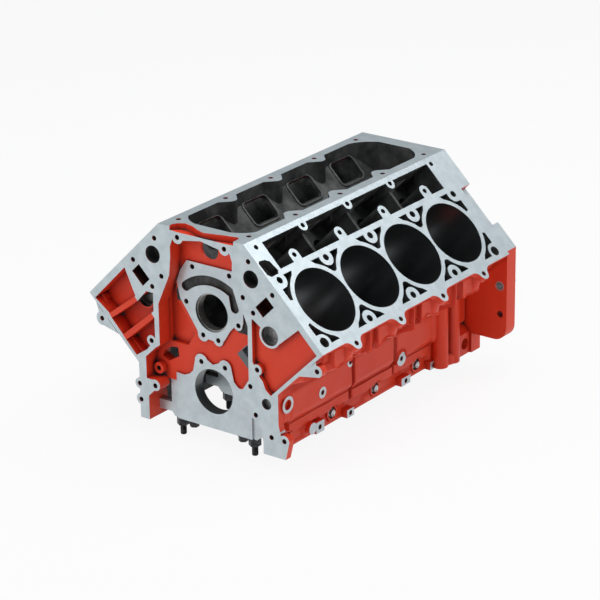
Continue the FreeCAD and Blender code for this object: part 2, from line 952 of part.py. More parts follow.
def cut_windows(body, side):
    """Openings from the valley into the lifter gallery, one for each cylinder."""
    name = f"{SIDE_NAMES[side]}_windows"
    across = dims.gallery_outer + dims.valley_wall + OVERRUN
    drawing = gallery_sketch(body, name, side, -1 * across)
    top = (dims.deck_height - dims.window_top) * side
    bottom = (dims.deck_height - dims.window_bottom) * side
    low, high = (bottom, top) if side == LEFT else (top, bottom)
    half = dims.window_length / 2
    for index in range(CYLINDERS):
        y = bore_y(side, index) - 4
        rounded_box(drawing, low, high, y - half, y + half, dims.window_corner)
    pocket(body, name, drawing, dims.valley_wall + 2 * OVERRUN)


def cut_cylinders(body, side):
    """Cylinder bores, and the lifter bores under the gallery."""
    name = SIDE_NAMES[side]
    drawing = deck_sketch(body, f"{name}_bores", side)
    spots = [(0, bore_y(side, index)) for index in range(CYLINDERS)]
    holes(body, f"{name}_bores", drawing, spots, bore_radius, dims.bore_depth)
    lifters = deck_sketch(body, f"{name}_lifters", side, dims.gallery_depth - OVERRUN)
    half = dims.lifter_spacing / 2
    spots = []
    for index in range(CYLINDERS):
        spots.append((dims.lifter_offset * -side, bore_y(side, index) - half))
        spots.append((dims.lifter_offset * -side, bore_y(side, index) + half))
    holes(body, f"{name}_lifters", lifters, spots, dims.lifter_radius, dims.lifter_depth)


# Machined holes


def drill_deck(body, side):
    """Head bolt and dowel holes, the small bolt holes round the edge, and the coolant slots."""
    name = SIDE_NAMES[side]
    offset = dims.head_bolt_offset
    drawing = deck_sketch(body, f"{name}_head_bolts", side)
    spots = [(offset * way, web_y(side, index)) for index in range(MAINS) for way in (-1, 1)]
    holes(body, f"{name}_head_bolts", drawing, spots, dims.head_bolt_radius, dims.head_bolt_depth)
    dowels = deck_sketch(body, f"{name}_head_dowels", side)
    spots = [(offset * side, web_y(side, index)) for index in (0, MAINS - 1)]
    holes(body, f"{name}_head_dowels", dowels, spots, dims.head_dowel_radius, dims.head_dowel_depth)
    small = deck_sketch(body, f"{name}_deck_holes", side)
    spots = [(dims.ear_reach * side, bore_y(side, index)) for index in range(CYLINDERS)]
    spots += [(dims.gallery_ear_offset * -side, bore_y(side, index) + 2.5) for index in range(CYLINDERS)]
    spots += [(dims.small_ear_offset * -side, web_y(side, index)) for index in range(MAINS)]
    holes(body, f"{name}_deck_holes", small, spots, dims.deck_hole_radius, dims.deck_hole_depth)
    slots = deck_sketch(body, f"{name}_water_slots", side)
    for index in range(1, MAINS - 1):
        for way in (-1, 1):
            outline(slots, water_slot(way, web_y(side, index)))
    for way in (-1, 1):
        outline(slots, end_slot(way, web_y(side, 0), 1))
        outline(slots, end_slot(way, web_y(side, MAINS - 1), -1))
    pocket(body, f"{name}_water_slots", slots, dims.slot_depth)


def water_slot(way, middle):
    """A coolant slot between two cylinders: it follows both bores and goes round a bolt's land."""
    around = bore_radius + dims.slot_wall
    land = dims.head_bolt_land
    reach = dims.slot_reach
    shoulder = reach - 7
    tip = dims.slot_tip
    land_run = root(land * land - (reach - dims.head_bolt_offset) * (reach - dims.head_bolt_offset))
    wide = ring_gap(shoulder)
    narrow = ring_gap(tip)
    return [
        (reach * way, middle - dims.slot_half_length),
        (reach * way, middle - land_run),
        ((dims.head_bolt_offset - land) * way, middle, -1 * land * way),
        (reach * way, middle + land_run, -1 * land * way),
        (reach * way, middle + dims.slot_half_length),
        (shoulder * way, middle + wide),
        (tip * way, middle + narrow, -1 * around * way),
        (tip * way, middle - narrow, (narrow + 0.5) * way),
        (shoulder * way, middle - wide, -1 * around * way),
    ]


def ring_gap(across):
    """How far the wall round a cylinder lies from the middle of a web, at a distance across the bank."""
    around = bore_radius + dims.slot_wall
    return dims.bore_spacing / 2 - root(around * around - across * across)


def end_slot(way, middle, step):
    """The coolant slot beyond the first or the last cylinder, which follows one bore only."""
    around = bore_radius + dims.slot_wall
    land = dims.head_bolt_land
    reach = dims.slot_reach
    shoulder = reach - 7
    foot = 20
    land_run = root(land * land - (reach - dims.head_bolt_offset) * (reach - dims.head_bolt_offset))
    turn = way * step
    return [
        ((dims.head_bolt_offset - land) * way, middle),
        (reach * way, middle + land_run * step, -1 * land * turn),
        (reach * way, middle + dims.slot_half_length * step),
        (shoulder * way, middle + ring_gap(shoulder) * step),
        (foot * way, middle + ring_gap(foot) * step, -1 * around * turn),
        ((foot + 2) * way, middle - dims.slot_end_wall * step),
        (41 * way, middle - dims.slot_end_wall * step),
    ]


def drill_front(body):
    """Threaded holes of the front face, its coolant ports and the two gallery mouths."""
    shared = [(86, 230), (75, 173), (128, 188), (93, 153), (43, 240), (94, -6), (122, -34.5)]
    shared.append((dims.pocket_hole_offset, dims.pocket_hole_height))
    spots = [(x * side, z) for x, z in shared for side in SIDES]
    spots += [(85, 37), (145, -35), (205, 89), (-124, -9), (-193, 80)]
    drawing = front_sketch(body, "cover_holes", front)
    holes(body, "cover_holes", drawing, spots, dims.cover_hole_radius, dims.cover_hole_depth)
    inner = front_sketch(body, "chest_holes", land_face - 7)
    spots = [(34, 190), (-34, 190), (-47, 133), (49, 116), (-17, 86.5), (11, 84), (22, 43), (-22, 43), (-98, 17)]
    holes(body, "chest_holes", inner, spots, dims.cover_hole_radius, dims.cover_hole_depth)
    cores = front_sketch(body, "front_cores", front)
    holes(body, "front_left_core", cores, [(dims.core_offset, dims.core_height)], dims.core_radius, dims.core_depth)
    cores = front_sketch(body, "front_right_core", front + dims.core_setback)
    holes(body, "front_right_core", cores, [(-1 * dims.core_offset, dims.core_height)], dims.core_radius, dims.core_depth)
    ports = front_sketch(body, "water_ports", front)
    for side in SIDES:
        circle(ports, 90 * side, 204, 13.5)
        outline(ports, [(port_x * side, port_z) for port_x, port_z in port_corners()])
    pocket(body, "water_ports", ports, 20)
    mouth = front_sketch(body, "oil_gallery_mouth", front)
    spot = [(dims.oil_gallery_offset, dims.oil_gallery_height)]
    holes(body, "oil_gallery_mouth", mouth, spot, dims.oil_plug_radius, dims.oil_plug_depth)
    line = front_sketch(body, "oil_gallery", front)
    holes(body, "oil_gallery", line, spot, dims.oil_gallery_radius, rear - front)


def port_corners():
    """A slanted port beside each deck, 28 along the bank and 19 across it."""
    centre_x, centre_z = 114, 166.5
    long, short = 14 * LEAN, 9.5 * LEAN
    turns = ((1, 1), (1, -1), (-1, -1), (-1, 1))
    return [(centre_x + long * a + short * b, centre_z + long * a - short * b) for a, b in turns]


def drill_rear(body):
    """Bellhousing bolt and dowel holes, core holes and the rear mouth of the oil gallery."""
    drawing = front_sketch(body, "bellhousing_holes", deck_rear - OVERRUN)
    spots = [(x * side, z) for x, z in ((50, 236), (95, 195), (200, 13), (138, -46)) for side in SIDES]
    holes(body, "bellhousing_holes", drawing, spots, dims.bellhousing_hole_radius, dims.rear_flange + 2 * OVERRUN)
    dowels = front_sketch(body, "dowel_holes", deck_rear - OVERRUN)
    spots = [(dims.dowel_offset * side, dims.dowel_height) for side in SIDES]
    holes(body, "dowel_holes", dowels, spots, dims.dowel_radius, dims.rear_flange + 2 * OVERRUN)
    cores = front_sketch(body, "rear_cores", rear - dims.core_depth)
    spots = [(dims.core_offset * side, dims.core_height) for side in SIDES]
    holes(body, "rear_cores", cores, spots, dims.core_radius, dims.core_depth + OVERRUN)
    mouth = front_sketch(body, "oil_gallery_tail", rear - dims.oil_plug_depth)
    spot = [(dims.oil_gallery_offset, dims.oil_gallery_height)]
    holes(body, "oil_gallery_tail", mouth, spot, dims.oil_plug_radius, dims.oil_plug_depth + OVERRUN)


def drill_rails(body):
    """Threaded holes of the valley rail and the pan rail."""
    top = top_sketch(body, "valley_rail_holes", dims.rail_height)
    spots = [(dims.valley_bolt_offset * side, main_y(index)) for index in range(MAINS) for side in SIDES]
    holes(body, "valley_rail_holes", top, spots, dims.cover_hole_radius, dims.deck_hole_depth)
    pan = top_sketch(body, "pan_rail_holes", pan_face)
    rows = [main_y(index) - dims.bore_spacing / 5 for index in range(MAINS)] + [rear - 10]
    spots = [(dims.pan_hole_offset * side, y) for y in rows for side in SIDES]
    holes(body, "pan_rail_holes", pan, spots, dims.pan_hole_radius, dims.pan_hole_depth, backwards=True)


def cap_fastener_spots(offset):
    return [(offset * side, main_y(index)) for index in range(MAINS) for side in SIDES]


def drill_for_caps(body):
    """Holes for the cap bolts and studs, and for the side bolts with their spotfaces."""
    drawing = top_sketch(body, "cap_bolt_holes", 0)
    spots = cap_fastener_spots(dims.inner_bolt_offset) + cap_fastener_spots(dims.outer_stud_offset)
    radius = dims.cap_bolt_radius + dims.bolt_clearance
    holes(body, "cap_bolt_holes", drawing, spots, radius, dims.cap_bolt_reach + dims.bolt_clearance, backwards=True)
    for side in SIDES:
        name = SIDE_NAMES[side]
        away = side == RIGHT
        start = (dims.flange_foot + OVERRUN) * side
        faces = side_sketch(body, f"{name}_spotfaces", start)
        depth = dims.flange_foot + OVERRUN - dims.side_bolt_seat
        holes(body, f"{name}_spotfaces", faces, side_bolt_spots(), dims.spotface_radius, depth, backwards=away)
        bolts = side_sketch(body, f"{name}_side_bolt_holes", start)
        depth = dims.flange_foot + 2 * OVERRUN - dims.crankcase_half_width
        radius = dims.side_bolt_radius + dims.bolt_clearance
        holes(body, f"{name}_side_bolt_holes", bolts, side_bolt_spots(), radius, depth, backwards=away)


def drill_side(body):
    """Threaded holes of the mount pads and bosses on the left side."""
    face = dims.gallery_reach + 3
    drawing = side_sketch(body, "left_side_holes", face)
    spots = [(74, 3), (145, 27), (279, -14), (69, -51), (147, -56.5), (294, -56.5), (370.5, -56.5)]
    holes(body, "left_side_holes", drawing, spots, dims.cover_hole_radius, 13)
    port = side_sketch(body, "left_side_port", face)
    holes(body, "left_side_port", port, [(-11, 14)], 8, 10)


# Pieces


def make_outside():
    body = new_body("casting_outside")
    add_core(body)
    for side in SIDES:
        add_deck_flange(body, side)
    add_oil_gallery_rib(body)
    add_front_flange(body)
    add_rear_flange(body)
    add_skirt_bosses(body)
    return body


def make_hollows():
    body = new_mould("casting_hollows")
    cut_chest(body)
    cut_bank_pockets(body)
    cut_ends(body)
    cut_crankcase(body)
    cut_valley(body)
    for side in SIDES:
        cut_gallery(body, side)
    return body


def make_inner_bosses():
    """What stands inside the hollows."""
    body = new_body("casting_inner_bosses")
    add_front_barrel(body)
    add_chest_lands(body)
    add_core_ring(body)
    add_pocket_bosses(body)
    add_valley_bosses(body)
    for side in SIDES:
        add_gallery_ears(body, side)
    return body


def make_machining():
    """Everything that is drilled, bored or milled, grouped by the face that it is reached from."""
    tools = []
    for side in SIDES:
        cylinders = new_mould(f"{SIDE_NAMES[side]}_cylinders")
        cut_cylinders(cylinders, side)
        cut_windows(cylinders, side)
        deck = new_mould(f"{SIDE_NAMES[side]}_deck_machining")
        drill_deck(deck, side)
        tools += [cylinders, deck]
    for name, steps in {
        "shaft_lines": [cut_shaft_bores],
        "front_machining": [cut_chest_details, drill_front],
        "rear_machining": [drill_rear],
        "rail_machining": [drill_rails],
        "cap_machining": [drill_for_caps],
        "side_machining": [drill_side],
    }.items():
        tool = new_mould(name)
        for step in steps:
            step(tool)
        tools.append(tool)
    return tools


def combine(kind, name, first, second):
    """Joins two shapes, or cuts the second from the first."""
    item = doc.addObject(kind, name)
    item.Base = first
    item.Tool = second
    item.Refine = False
    return item


def make_casting():
    hollowed = combine("Part::Cut", "casting_hollowed", make_outside(), make_hollows())
    bossed = combine("Part::Fuse", "casting_bossed", hollowed, make_inner_bosses())
    machining = doc.addObject("Part::MultiFuse", "casting_machining")
    machining.Shapes = make_machining()
    machining.Refine = False
    casting = combine("Part::Cut", "block_casting", bossed, machining)
    casting.Label = "block_casting"
    casting.Refine = True
    return casting


def make_cap(index):
    """A main cap: a deep middle, thinner shoulders and two wings that take the side bolts."""
    body = new_body(f"main_cap_{index + 1}")
    y = main_y(index)
    half = dims.wing_thickness / 2
    wings = [
        (dims.cap_foot, -1 * dims.cap_depth),
        (dims.cap_shoulder, -1 * dims.wing_bottom),
        (dims.crankcase_half_width, -1 * dims.wing_bottom),
        (dims.crankcase_half_width, -1 * dims.wing_top),
        (dims.cap_shoulder, -1 * dims.wing_top),
        (dims.cap_shoulder, 0),
    ]
    front_pad(body, f"cap_{index + 1}_wings", y - half, [both_sides(wings)], dims.wing_thickness)
    middle = [(dims.cap_half_width, -1 * dims.cap_depth), (dims.cap_half_width, 0)]
    front_pad(body, f"cap_{index + 1}_middle", y - half_main, [both_sides(middle)], dims.main_width)
    bore = front_sketch(body, f"cap_{index + 1}_bore", y - half_main - OVERRUN)
    circle(bore, 0, 0, dims.main_bore / 2)
    pocket(body, f"cap_{index + 1}_bore", bore, dims.main_width + 2 * OVERRUN)
    under = top_sketch(body, f"cap_{index + 1}_bolt_holes", 0)
    spots = [(offset * side, y) for offset in (dims.inner_bolt_offset, dims.outer_stud_offset) for side in SIDES]
    radius = dims.cap_bolt_radius + dims.bolt_clearance
    holes(body, f"cap_{index + 1}_bolt_holes", under, spots, radius, dims.cap_depth + OVERRUN)
    for side in SIDES:
        name = f"cap_{index + 1}_{SIDE_NAMES[side]}_hole"
        end = side_sketch(body, name, dims.crankcase_half_width * side)
        radius = dims.side_bolt_radius + dims.bolt_clearance
        depth = dims.side_bolt_reach + dims.bolt_clearance
        holes(body, name, end, [(y, -1 * dims.side_bolt_height)], radius, depth, backwards=side == RIGHT)
    return body


def make_inner_bolts():
    """Flanged bolts through the caps, close to the main bore."""
    body = new_body("inner_cap_bolts")
    seat = -1 * dims.cap_depth
    spots = cap_fastener_spots(dims.inner_bolt_offset)
    shanks = top_sketch(body, "inner_shanks", seat - dims.washer_height)
    length = dims.cap_depth + dims.cap_bolt_reach + dims.washer_height
    bosses(body, "inner_shanks", shanks, [(x, y, dims.cap_bolt_radius) for x, y in spots], length)
    washers = top_sketch(body, "inner_washers", seat)
    flanges = [(x, y, dims.washer_radius) for x, y in spots]
    bosses(body, "inner_washers", washers, flanges, dims.washer_height, backwards=True)
    heads = top_sketch(body, "inner_heads", seat - dims.washer_height)
    for x, y in spots:
        hexagon(heads, x, y, dims.bolt_head_width)
    pad(body, "inner_heads", heads, dims.bolt_head_height, backwards=True)
    return body


def make_outer_studs():
    body = new_body("outer_cap_studs")
    foot = -1 * (dims.cap_depth + dims.stud_tail)
    drawing = top_sketch(body, "outer_studs", foot)
    spots = [(x, y, dims.cap_bolt_radius) for x, y in cap_fastener_spots(dims.outer_stud_offset)]
    bosses(body, "outer_studs", drawing, spots, dims.cap_bolt_reach - foot)
    return body


def make_outer_nuts():
    body = new_body("outer_cap_nuts")
    drawing = top_sketch(body, "outer_nuts", -1 * dims.cap_depth)
    for x, y in cap_fastener_spots(dims.outer_stud_offset):
        hexagon(drawing, x, y, dims.nut_width)
        circle(drawing, x, y, dims.cap_bolt_radius + dims.bolt_clearance)
    pad(body, "outer_nuts", drawing, dims.nut_height, backwards=True)
    return body


def make_side_bolts():
    """Flanged bolts through the skirt into the cap wings."""
    body = new_body("side_cap_bolts")
    seat = dims.side_bolt_seat
    tip = dims.crankcase_half_width - dims.side_bolt_reach
    for side in SIDES:
        name = SIDE_NAMES[side]
        inwards = side == LEFT
        spots = side_bolt_spots()
        shanks = side_sketch(body, f"{name}_side_shanks", (seat + dims.washer_height) * side)
        bosses(body, f"{name}_side_shanks", shanks, [(y, z, dims.side_bolt_radius) for y, z in spots],
               seat + dims.washer_height - tip, backwards=inwards)
        washers = side_sketch(body, f"{name}_side_washers", seat * side)
        bosses(body, f"{name}_side_washers", washers, [(y, z, dims.side_washer_radius) for y, z in spots],
               dims.washer_height, backwards=not inwards)
        heads = side_sketch(body, f"{name}_side_heads", (seat + dims.washer_height) * side)
        for y, z in spots:
            hexagon(heads, y, z, dims.side_head_width)
        pad(body, f"{name}_side_heads", heads, dims.side_head_height, backwards=not inwards)
    return body


def make_cam_bearing(index):
    body = new_body(f"cam_bearing_{index + 1}")
    start = main_y(index) - half_main + dims.cam_bearing_setback
    drawing = front_sketch(body, f"cam_bearing_{index + 1}_ring", start)
    circle(drawing, 0, dims.cam_height, dims.cam_bore / 2)
    circle(drawing, 0, dims.cam_height, dims.cam_bore / 2 - dims.cam_bearing_wall)
    length = dims.main_width - 2 * dims.cam_bearing_setback
    pad(body, f"cam_bearing_{index + 1}_ring", drawing, length, backwards=True)
    return body


def make_oil_plug(name, start):
    body = new_body(name)
    drawing = front_sketch(body, name + "_disc", start)
    spot = (dims.oil_gallery_offset, dims.oil_gallery_height, dims.oil_plug_radius)
    bosses(body, name + "_disc", drawing, [spot], dims.oil_plug_length, backwards=True)
    return body


def make_core_plugs(name, starts, hollow_first):
    """Two cup plugs: each a shallow cup, open to the outside of the block."""
    body = new_body(name)
    for side, start in zip(SIDES, starts):
        label = f"{name}_{SIDE_NAMES[side]}"
        centre = (dims.core_offset * side, dims.core_height)
        drawing = front_sketch(body, f"{label}_cup", start)
        bosses(body, f"{label}_cup", drawing, [(*centre, dims.core_radius)], dims.core_plug_length, backwards=True)
        inside = start if hollow_first else start + dims.core_plug_wall
        hollow = front_sketch(body, f"{label}_hollow", inside)
        radius = dims.core_radius - dims.core_plug_wall
        holes(body, f"{label}_hollow", hollow, [centre], radius, dims.core_plug_length - dims.core_plug_wall)
    return body


def make_dowels():
    """Sleeve dowels that line the bellhousing up with the crankshaft."""
    body = new_body("bellhousing_dowels")
    drawing = front_sketch(body, "dowel_sleeves", deck_rear)
    for side in SIDES:
        circle(drawing, dims.dowel_offset * side, dims.dowel_height, dims.dowel_radius)
        circle(drawing, dims.dowel_offset * side, dims.dowel_height, dims.dowel_bore)
    pad(body, "dowel_sleeves", drawing, dims.rear_flange + dims.dowel_proud, backwards=True)
    return body


def make_parts():
    bodies = [make_casting()]
    bodies += [make_cap(index) for index in range(MAINS)]
    bodies += [make_inner_bolts(), make_outer_studs(), make_outer_nuts(), make_side_bolts()]
    bodies += [make_cam_bearing(index) for index in range(MAINS)]
    plug_end = dims.oil_plug_depth
    bodies.append(make_oil_plug("front_oil_gallery_plug", front + plug_end - dims.oil_plug_length))
    bodies.append(make_oil_plug("rear_oil_gallery_plug", rear - plug_end))
    seat = front + dims.core_depth - dims.core_plug_length
    bodies.append(make_core_plugs("front_core_plugs", (seat, seat + dims.core_setback), True))
    tail = rear - dims.core_depth
    bodies.append(make_core_plugs("rear_core_plugs", (tail, tail), False))
    bodies.append(make_dowels())
    return bodies


def check_change(name, before, after, adds):
    """A pad or a union has to add material, and a pocket or a cut has to take some away."""
    if after == before or (after > before) != adds:
        raise RuntimeError(f"{name} changes its piece by {after - before:.0f} cubic millimetres")


def check_volumes():
    for body in doc.findObjects("PartDesign::Body"):
        volume = 0
        for item in body.Group:
            if item.isDerivedFrom("PartDesign::Feature"):
                check_change(item.Name, volume, item.Shape.Volume, not item.isDerivedFrom("PartDesign::Pocket"))
                volume = item.Shape.Volume
    for item in doc.findObjects("Part::Boolean"):
        check_change(item.Name, item.Base.Shape.Volume, item.Shape.Volume, item.isDerivedFrom("Part::Fuse"))


def check_document():
    for item in doc.Objects:
        if "Invalid" in item.State or "Error" in item.State:
            raise RuntimeError(f"{item.Name} failed: {item.getStatusString()}")


parts = make_parts()
doc.recompute()
check_document()
check_volumes()
for body in parts:
    if body.Shape.isNull() or not body.Shape.isValid():
        raise RuntimeError(f"{body.Label} has no valid shape")

os.makedirs("parts", exist_ok=True)
for body in parts:
    shape = body.Shape
    print(body.Label, len(shape.Solids), len(shape.Faces), round(shape.Volume / 1000))
    shape.exportStep(f"parts/{body.Label}.step")
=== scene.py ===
# %% [markdown]
# # A bare V8 engine block
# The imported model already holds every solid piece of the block: the iron casting, its main caps, bolts,
# studs, plugs and dowels. This lesson dresses them: it gives the casting its paint and its milled faces,
# models the small fasteners again with threads and chamfers, and sets up the camera and a soft studio.

# %% Load the block
import math
import bpy
from mathutils import Matrix, Vector


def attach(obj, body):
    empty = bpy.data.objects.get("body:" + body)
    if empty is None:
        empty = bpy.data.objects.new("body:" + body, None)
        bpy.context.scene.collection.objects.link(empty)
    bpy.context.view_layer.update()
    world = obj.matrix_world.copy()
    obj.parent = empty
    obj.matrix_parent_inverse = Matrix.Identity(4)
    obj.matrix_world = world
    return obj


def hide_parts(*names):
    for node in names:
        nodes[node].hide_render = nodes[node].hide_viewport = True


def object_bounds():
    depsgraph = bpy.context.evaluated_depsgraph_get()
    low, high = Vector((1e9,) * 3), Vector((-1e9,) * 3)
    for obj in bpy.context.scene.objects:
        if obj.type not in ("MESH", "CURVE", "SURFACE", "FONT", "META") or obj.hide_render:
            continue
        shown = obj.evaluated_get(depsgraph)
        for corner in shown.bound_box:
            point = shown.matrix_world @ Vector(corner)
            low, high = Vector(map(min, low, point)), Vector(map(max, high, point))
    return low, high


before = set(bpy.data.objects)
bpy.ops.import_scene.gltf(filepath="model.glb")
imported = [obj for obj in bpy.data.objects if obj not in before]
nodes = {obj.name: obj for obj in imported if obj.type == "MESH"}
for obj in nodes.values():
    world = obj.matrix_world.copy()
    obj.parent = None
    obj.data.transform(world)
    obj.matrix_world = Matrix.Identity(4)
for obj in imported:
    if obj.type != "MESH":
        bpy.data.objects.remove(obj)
cad_low, cad_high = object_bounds()
bpy.ops.object.select_all(action="DESELECT")
bpy.context.scene.view_settings.view_transform = "Standard"
print("the block measures", [round(high - low, 4) for low, high in zip(cad_low, cad_high)], "metres")

# %% [markdown]
# ## Camera
# A product photograph of an engine block is taken with a long lens from some metres away, so its parallel
# edges stay almost parallel. The camera stands in front of the left bank and a little above the deck.
# Its matrix is built from three directions: to the right, up, and back towards the camera.

# %% Place the camera
CAMERA_SPOT = Vector((2.2494, -2.8123, 1.5625))
CAMERA_AZIMUTH = math.radians(36.69)
CAMERA_ELEVATION = math.radians(21.56)
CAMERA_ROLL = math.radians(-0.84)
CAMERA_LENS = 159.3

back = Vector((
    math.sin(CAMERA_AZIMUTH) * math.cos(CAMERA_ELEVATION),
    -math.cos(CAMERA_AZIMUTH) * math.cos(CAMERA_ELEVATION),
    math.sin(CAMERA_ELEVATION),
))
level_right = (-back).cross(Vector((0, 0, 1))).normalized()
level_up = level_right.cross(-back)
right = math.cos(CAMERA_ROLL) * level_right + math.sin(CAMERA_ROLL) * level_up
up = -math.sin(CAMERA_ROLL) * level_right + math.cos(CAMERA_ROLL) * level_up
bpy.ops.object.camera_add()
camera = bpy.context.object
camera.name = "camera"
turn = Matrix((right, up, back)).transposed().to_4x4()
camera.matrix_world = Matrix.Translation(CAMERA_SPOT) @ turn
camera.data.lens = CAMERA_LENS
camera.data.sensor_width = 36
camera.data.clip_end = 50
bpy.context.scene.camera = camera
print("the camera stands", round(CAMERA_SPOT.length, 2), "m from the front main bearing")

# %% [markdown]
# ## Studio
# The photograph has no background at all: the block stands on white, with hardly a shadow. A large pale
# floor keeps a faint contact shadow. The camera and shiny surfaces see it as white, while the diffuse
# light that it sends back to the block stays soft.

# %% Floor
FLOOR_SIZE = 12
FLOOR_MIDDLE = (0, 0.2, cad_low[2])
FLOOR_COLOUR = (0.82, 0.82, 0.82, 1)
FLOOR_WHITENESS = 0.90
WHITE = (1, 1, 1, 1)

bpy.ops.mesh.primitive_plane_add(size=FLOOR_SIZE, location=FLOOR_MIDDLE)
floor = bpy.context.object
floor.name = "floor"
floor_paint = bpy.data.materials.new("studio_floor")
floor_paint.use_nodes = True
tree = floor_paint.node_tree
paper = tree.nodes["Principled BSDF"]
paper.inputs["Base Color"].default_value = FLOOR_COLOUR
paper.inputs["Roughness"].default_value = 0.9
glow = tree.nodes.new("ShaderNodeEmission")
glow.inputs["Color"].default_value = WHITE
rays = tree.nodes.new("ShaderNodeLightPath")
seen = tree.nodes.new("ShaderNodeMath")
seen.operation = "MAXIMUM"
tree.links.new(rays.outputs["Is Camera Ray"], seen.inputs[0])
tree.links.new(rays.outputs["Is Glossy Ray"], seen.inputs[1])
share = tree.nodes.new("ShaderNodeMath")
share.operation = "MULTIPLY"
share.inputs[1].default_value = FLOOR_WHITENESS
tree.links.new(seen.outputs[0], share.inputs[0])
blend = tree.nodes.new("ShaderNodeMixShader")
tree.links.new(share.outputs[0], blend.inputs[0])
tree.links.new(paper.outputs[0], blend.inputs[1])
tree.links.new(glow.outputs[0], blend.inputs[2])
tree.links.new(blend.outputs[0], tree.nodes["Material Output"].inputs["Surface"])
floor.data.materials.append(floor_paint)
print("floor at", round(cad_low[2], 4))

# %% [markdown]
# The world gives a weak, slightly cool light from all round, and the camera sees it as plain white.

# %% World
SKY_COLOUR = (0.92, 0.96, 1, 1)
SKY_STRENGTH = 0.30

world = bpy.data.worlds.new("studio")
bpy.context.scene.world = world
world.use_nodes = True
sky = world.node_tree.nodes["Background"]
sky.inputs["Color"].default_value = SKY_COLOUR
sky.inputs["Strength"].default_value = SKY_STRENGTH
backdrop = world.node_tree.nodes.new("ShaderNodeBackground")
backdrop.inputs["Color"].default_value = WHITE
backdrop.inputs["Strength"].default_value = 1
world_rays = world.node_tree.nodes.new("ShaderNodeLightPath")
world_blend = world.node_tree.nodes.new("ShaderNodeMixShader")
world.node_tree.links.new(world_rays.outputs["Is Camera Ray"], world_blend.inputs[0])
world.node_tree.links.new(sky.outputs[0], world_blend.inputs[1])
world.node_tree.links.new(backdrop.outputs[0], world_blend.inputs[2])
world.node_tree.links.new(world_blend.outputs[0], world.node_tree.nodes["World Output"].inputs["Surface"])
print("the sky's strength is", SKY_STRENGTH)

# %% [markdown]
# ## Lamps
# Four soft boxes light the block. The one overhead and the one at the front left give it its form, with
# the front face a tone darker than the decks. The one behind the left bank is there for the decks alone:
# they mirror it, brightest at the front. The weak one on the right lifts the painted skirt.

# %% Place the lamps
BLOCK_MIDDLE = (0, 0.22, 0.1)


def soft_box(name, spot, size, watts):
    """A square lamp that faces the middle of the block."""
    bpy.ops.object.light_add(type="AREA", location=spot)
    lamp = bpy.context.object
    lamp.name = name
    lamp.data.size = size
    lamp.data.energy = watts
    lamp.rotation_euler = (Vector(BLOCK_MIDDLE) - Vector(spot)).to_track_quat("-Z", "Y").to_euler()


soft_box("overhead_lamp", (0.3, -0.1, 2.6), size=2.0, watts=34)
soft_box("front_lamp", (-1.5, -2.6, 1.4), size=1.6, watts=30)
soft_box("side_lamp", (1.1, 1.6, 2.2), size=1.3, watts=22)
soft_box("skirt_lamp", (2.7, -0.3, 0.4), size=1.2, watts=8)
print("four lamps face", BLOCK_MIDDLE)

# %% [markdown]
# ## Reading a place on the block
# Milled faces of a casting are flat and lie at exact places, so a material can find them by position
# alone. Every object sits at the origin, so Object coordinates are metres on the block. A small builder
# writes chains of math nodes: each call adds one node and returns its output.

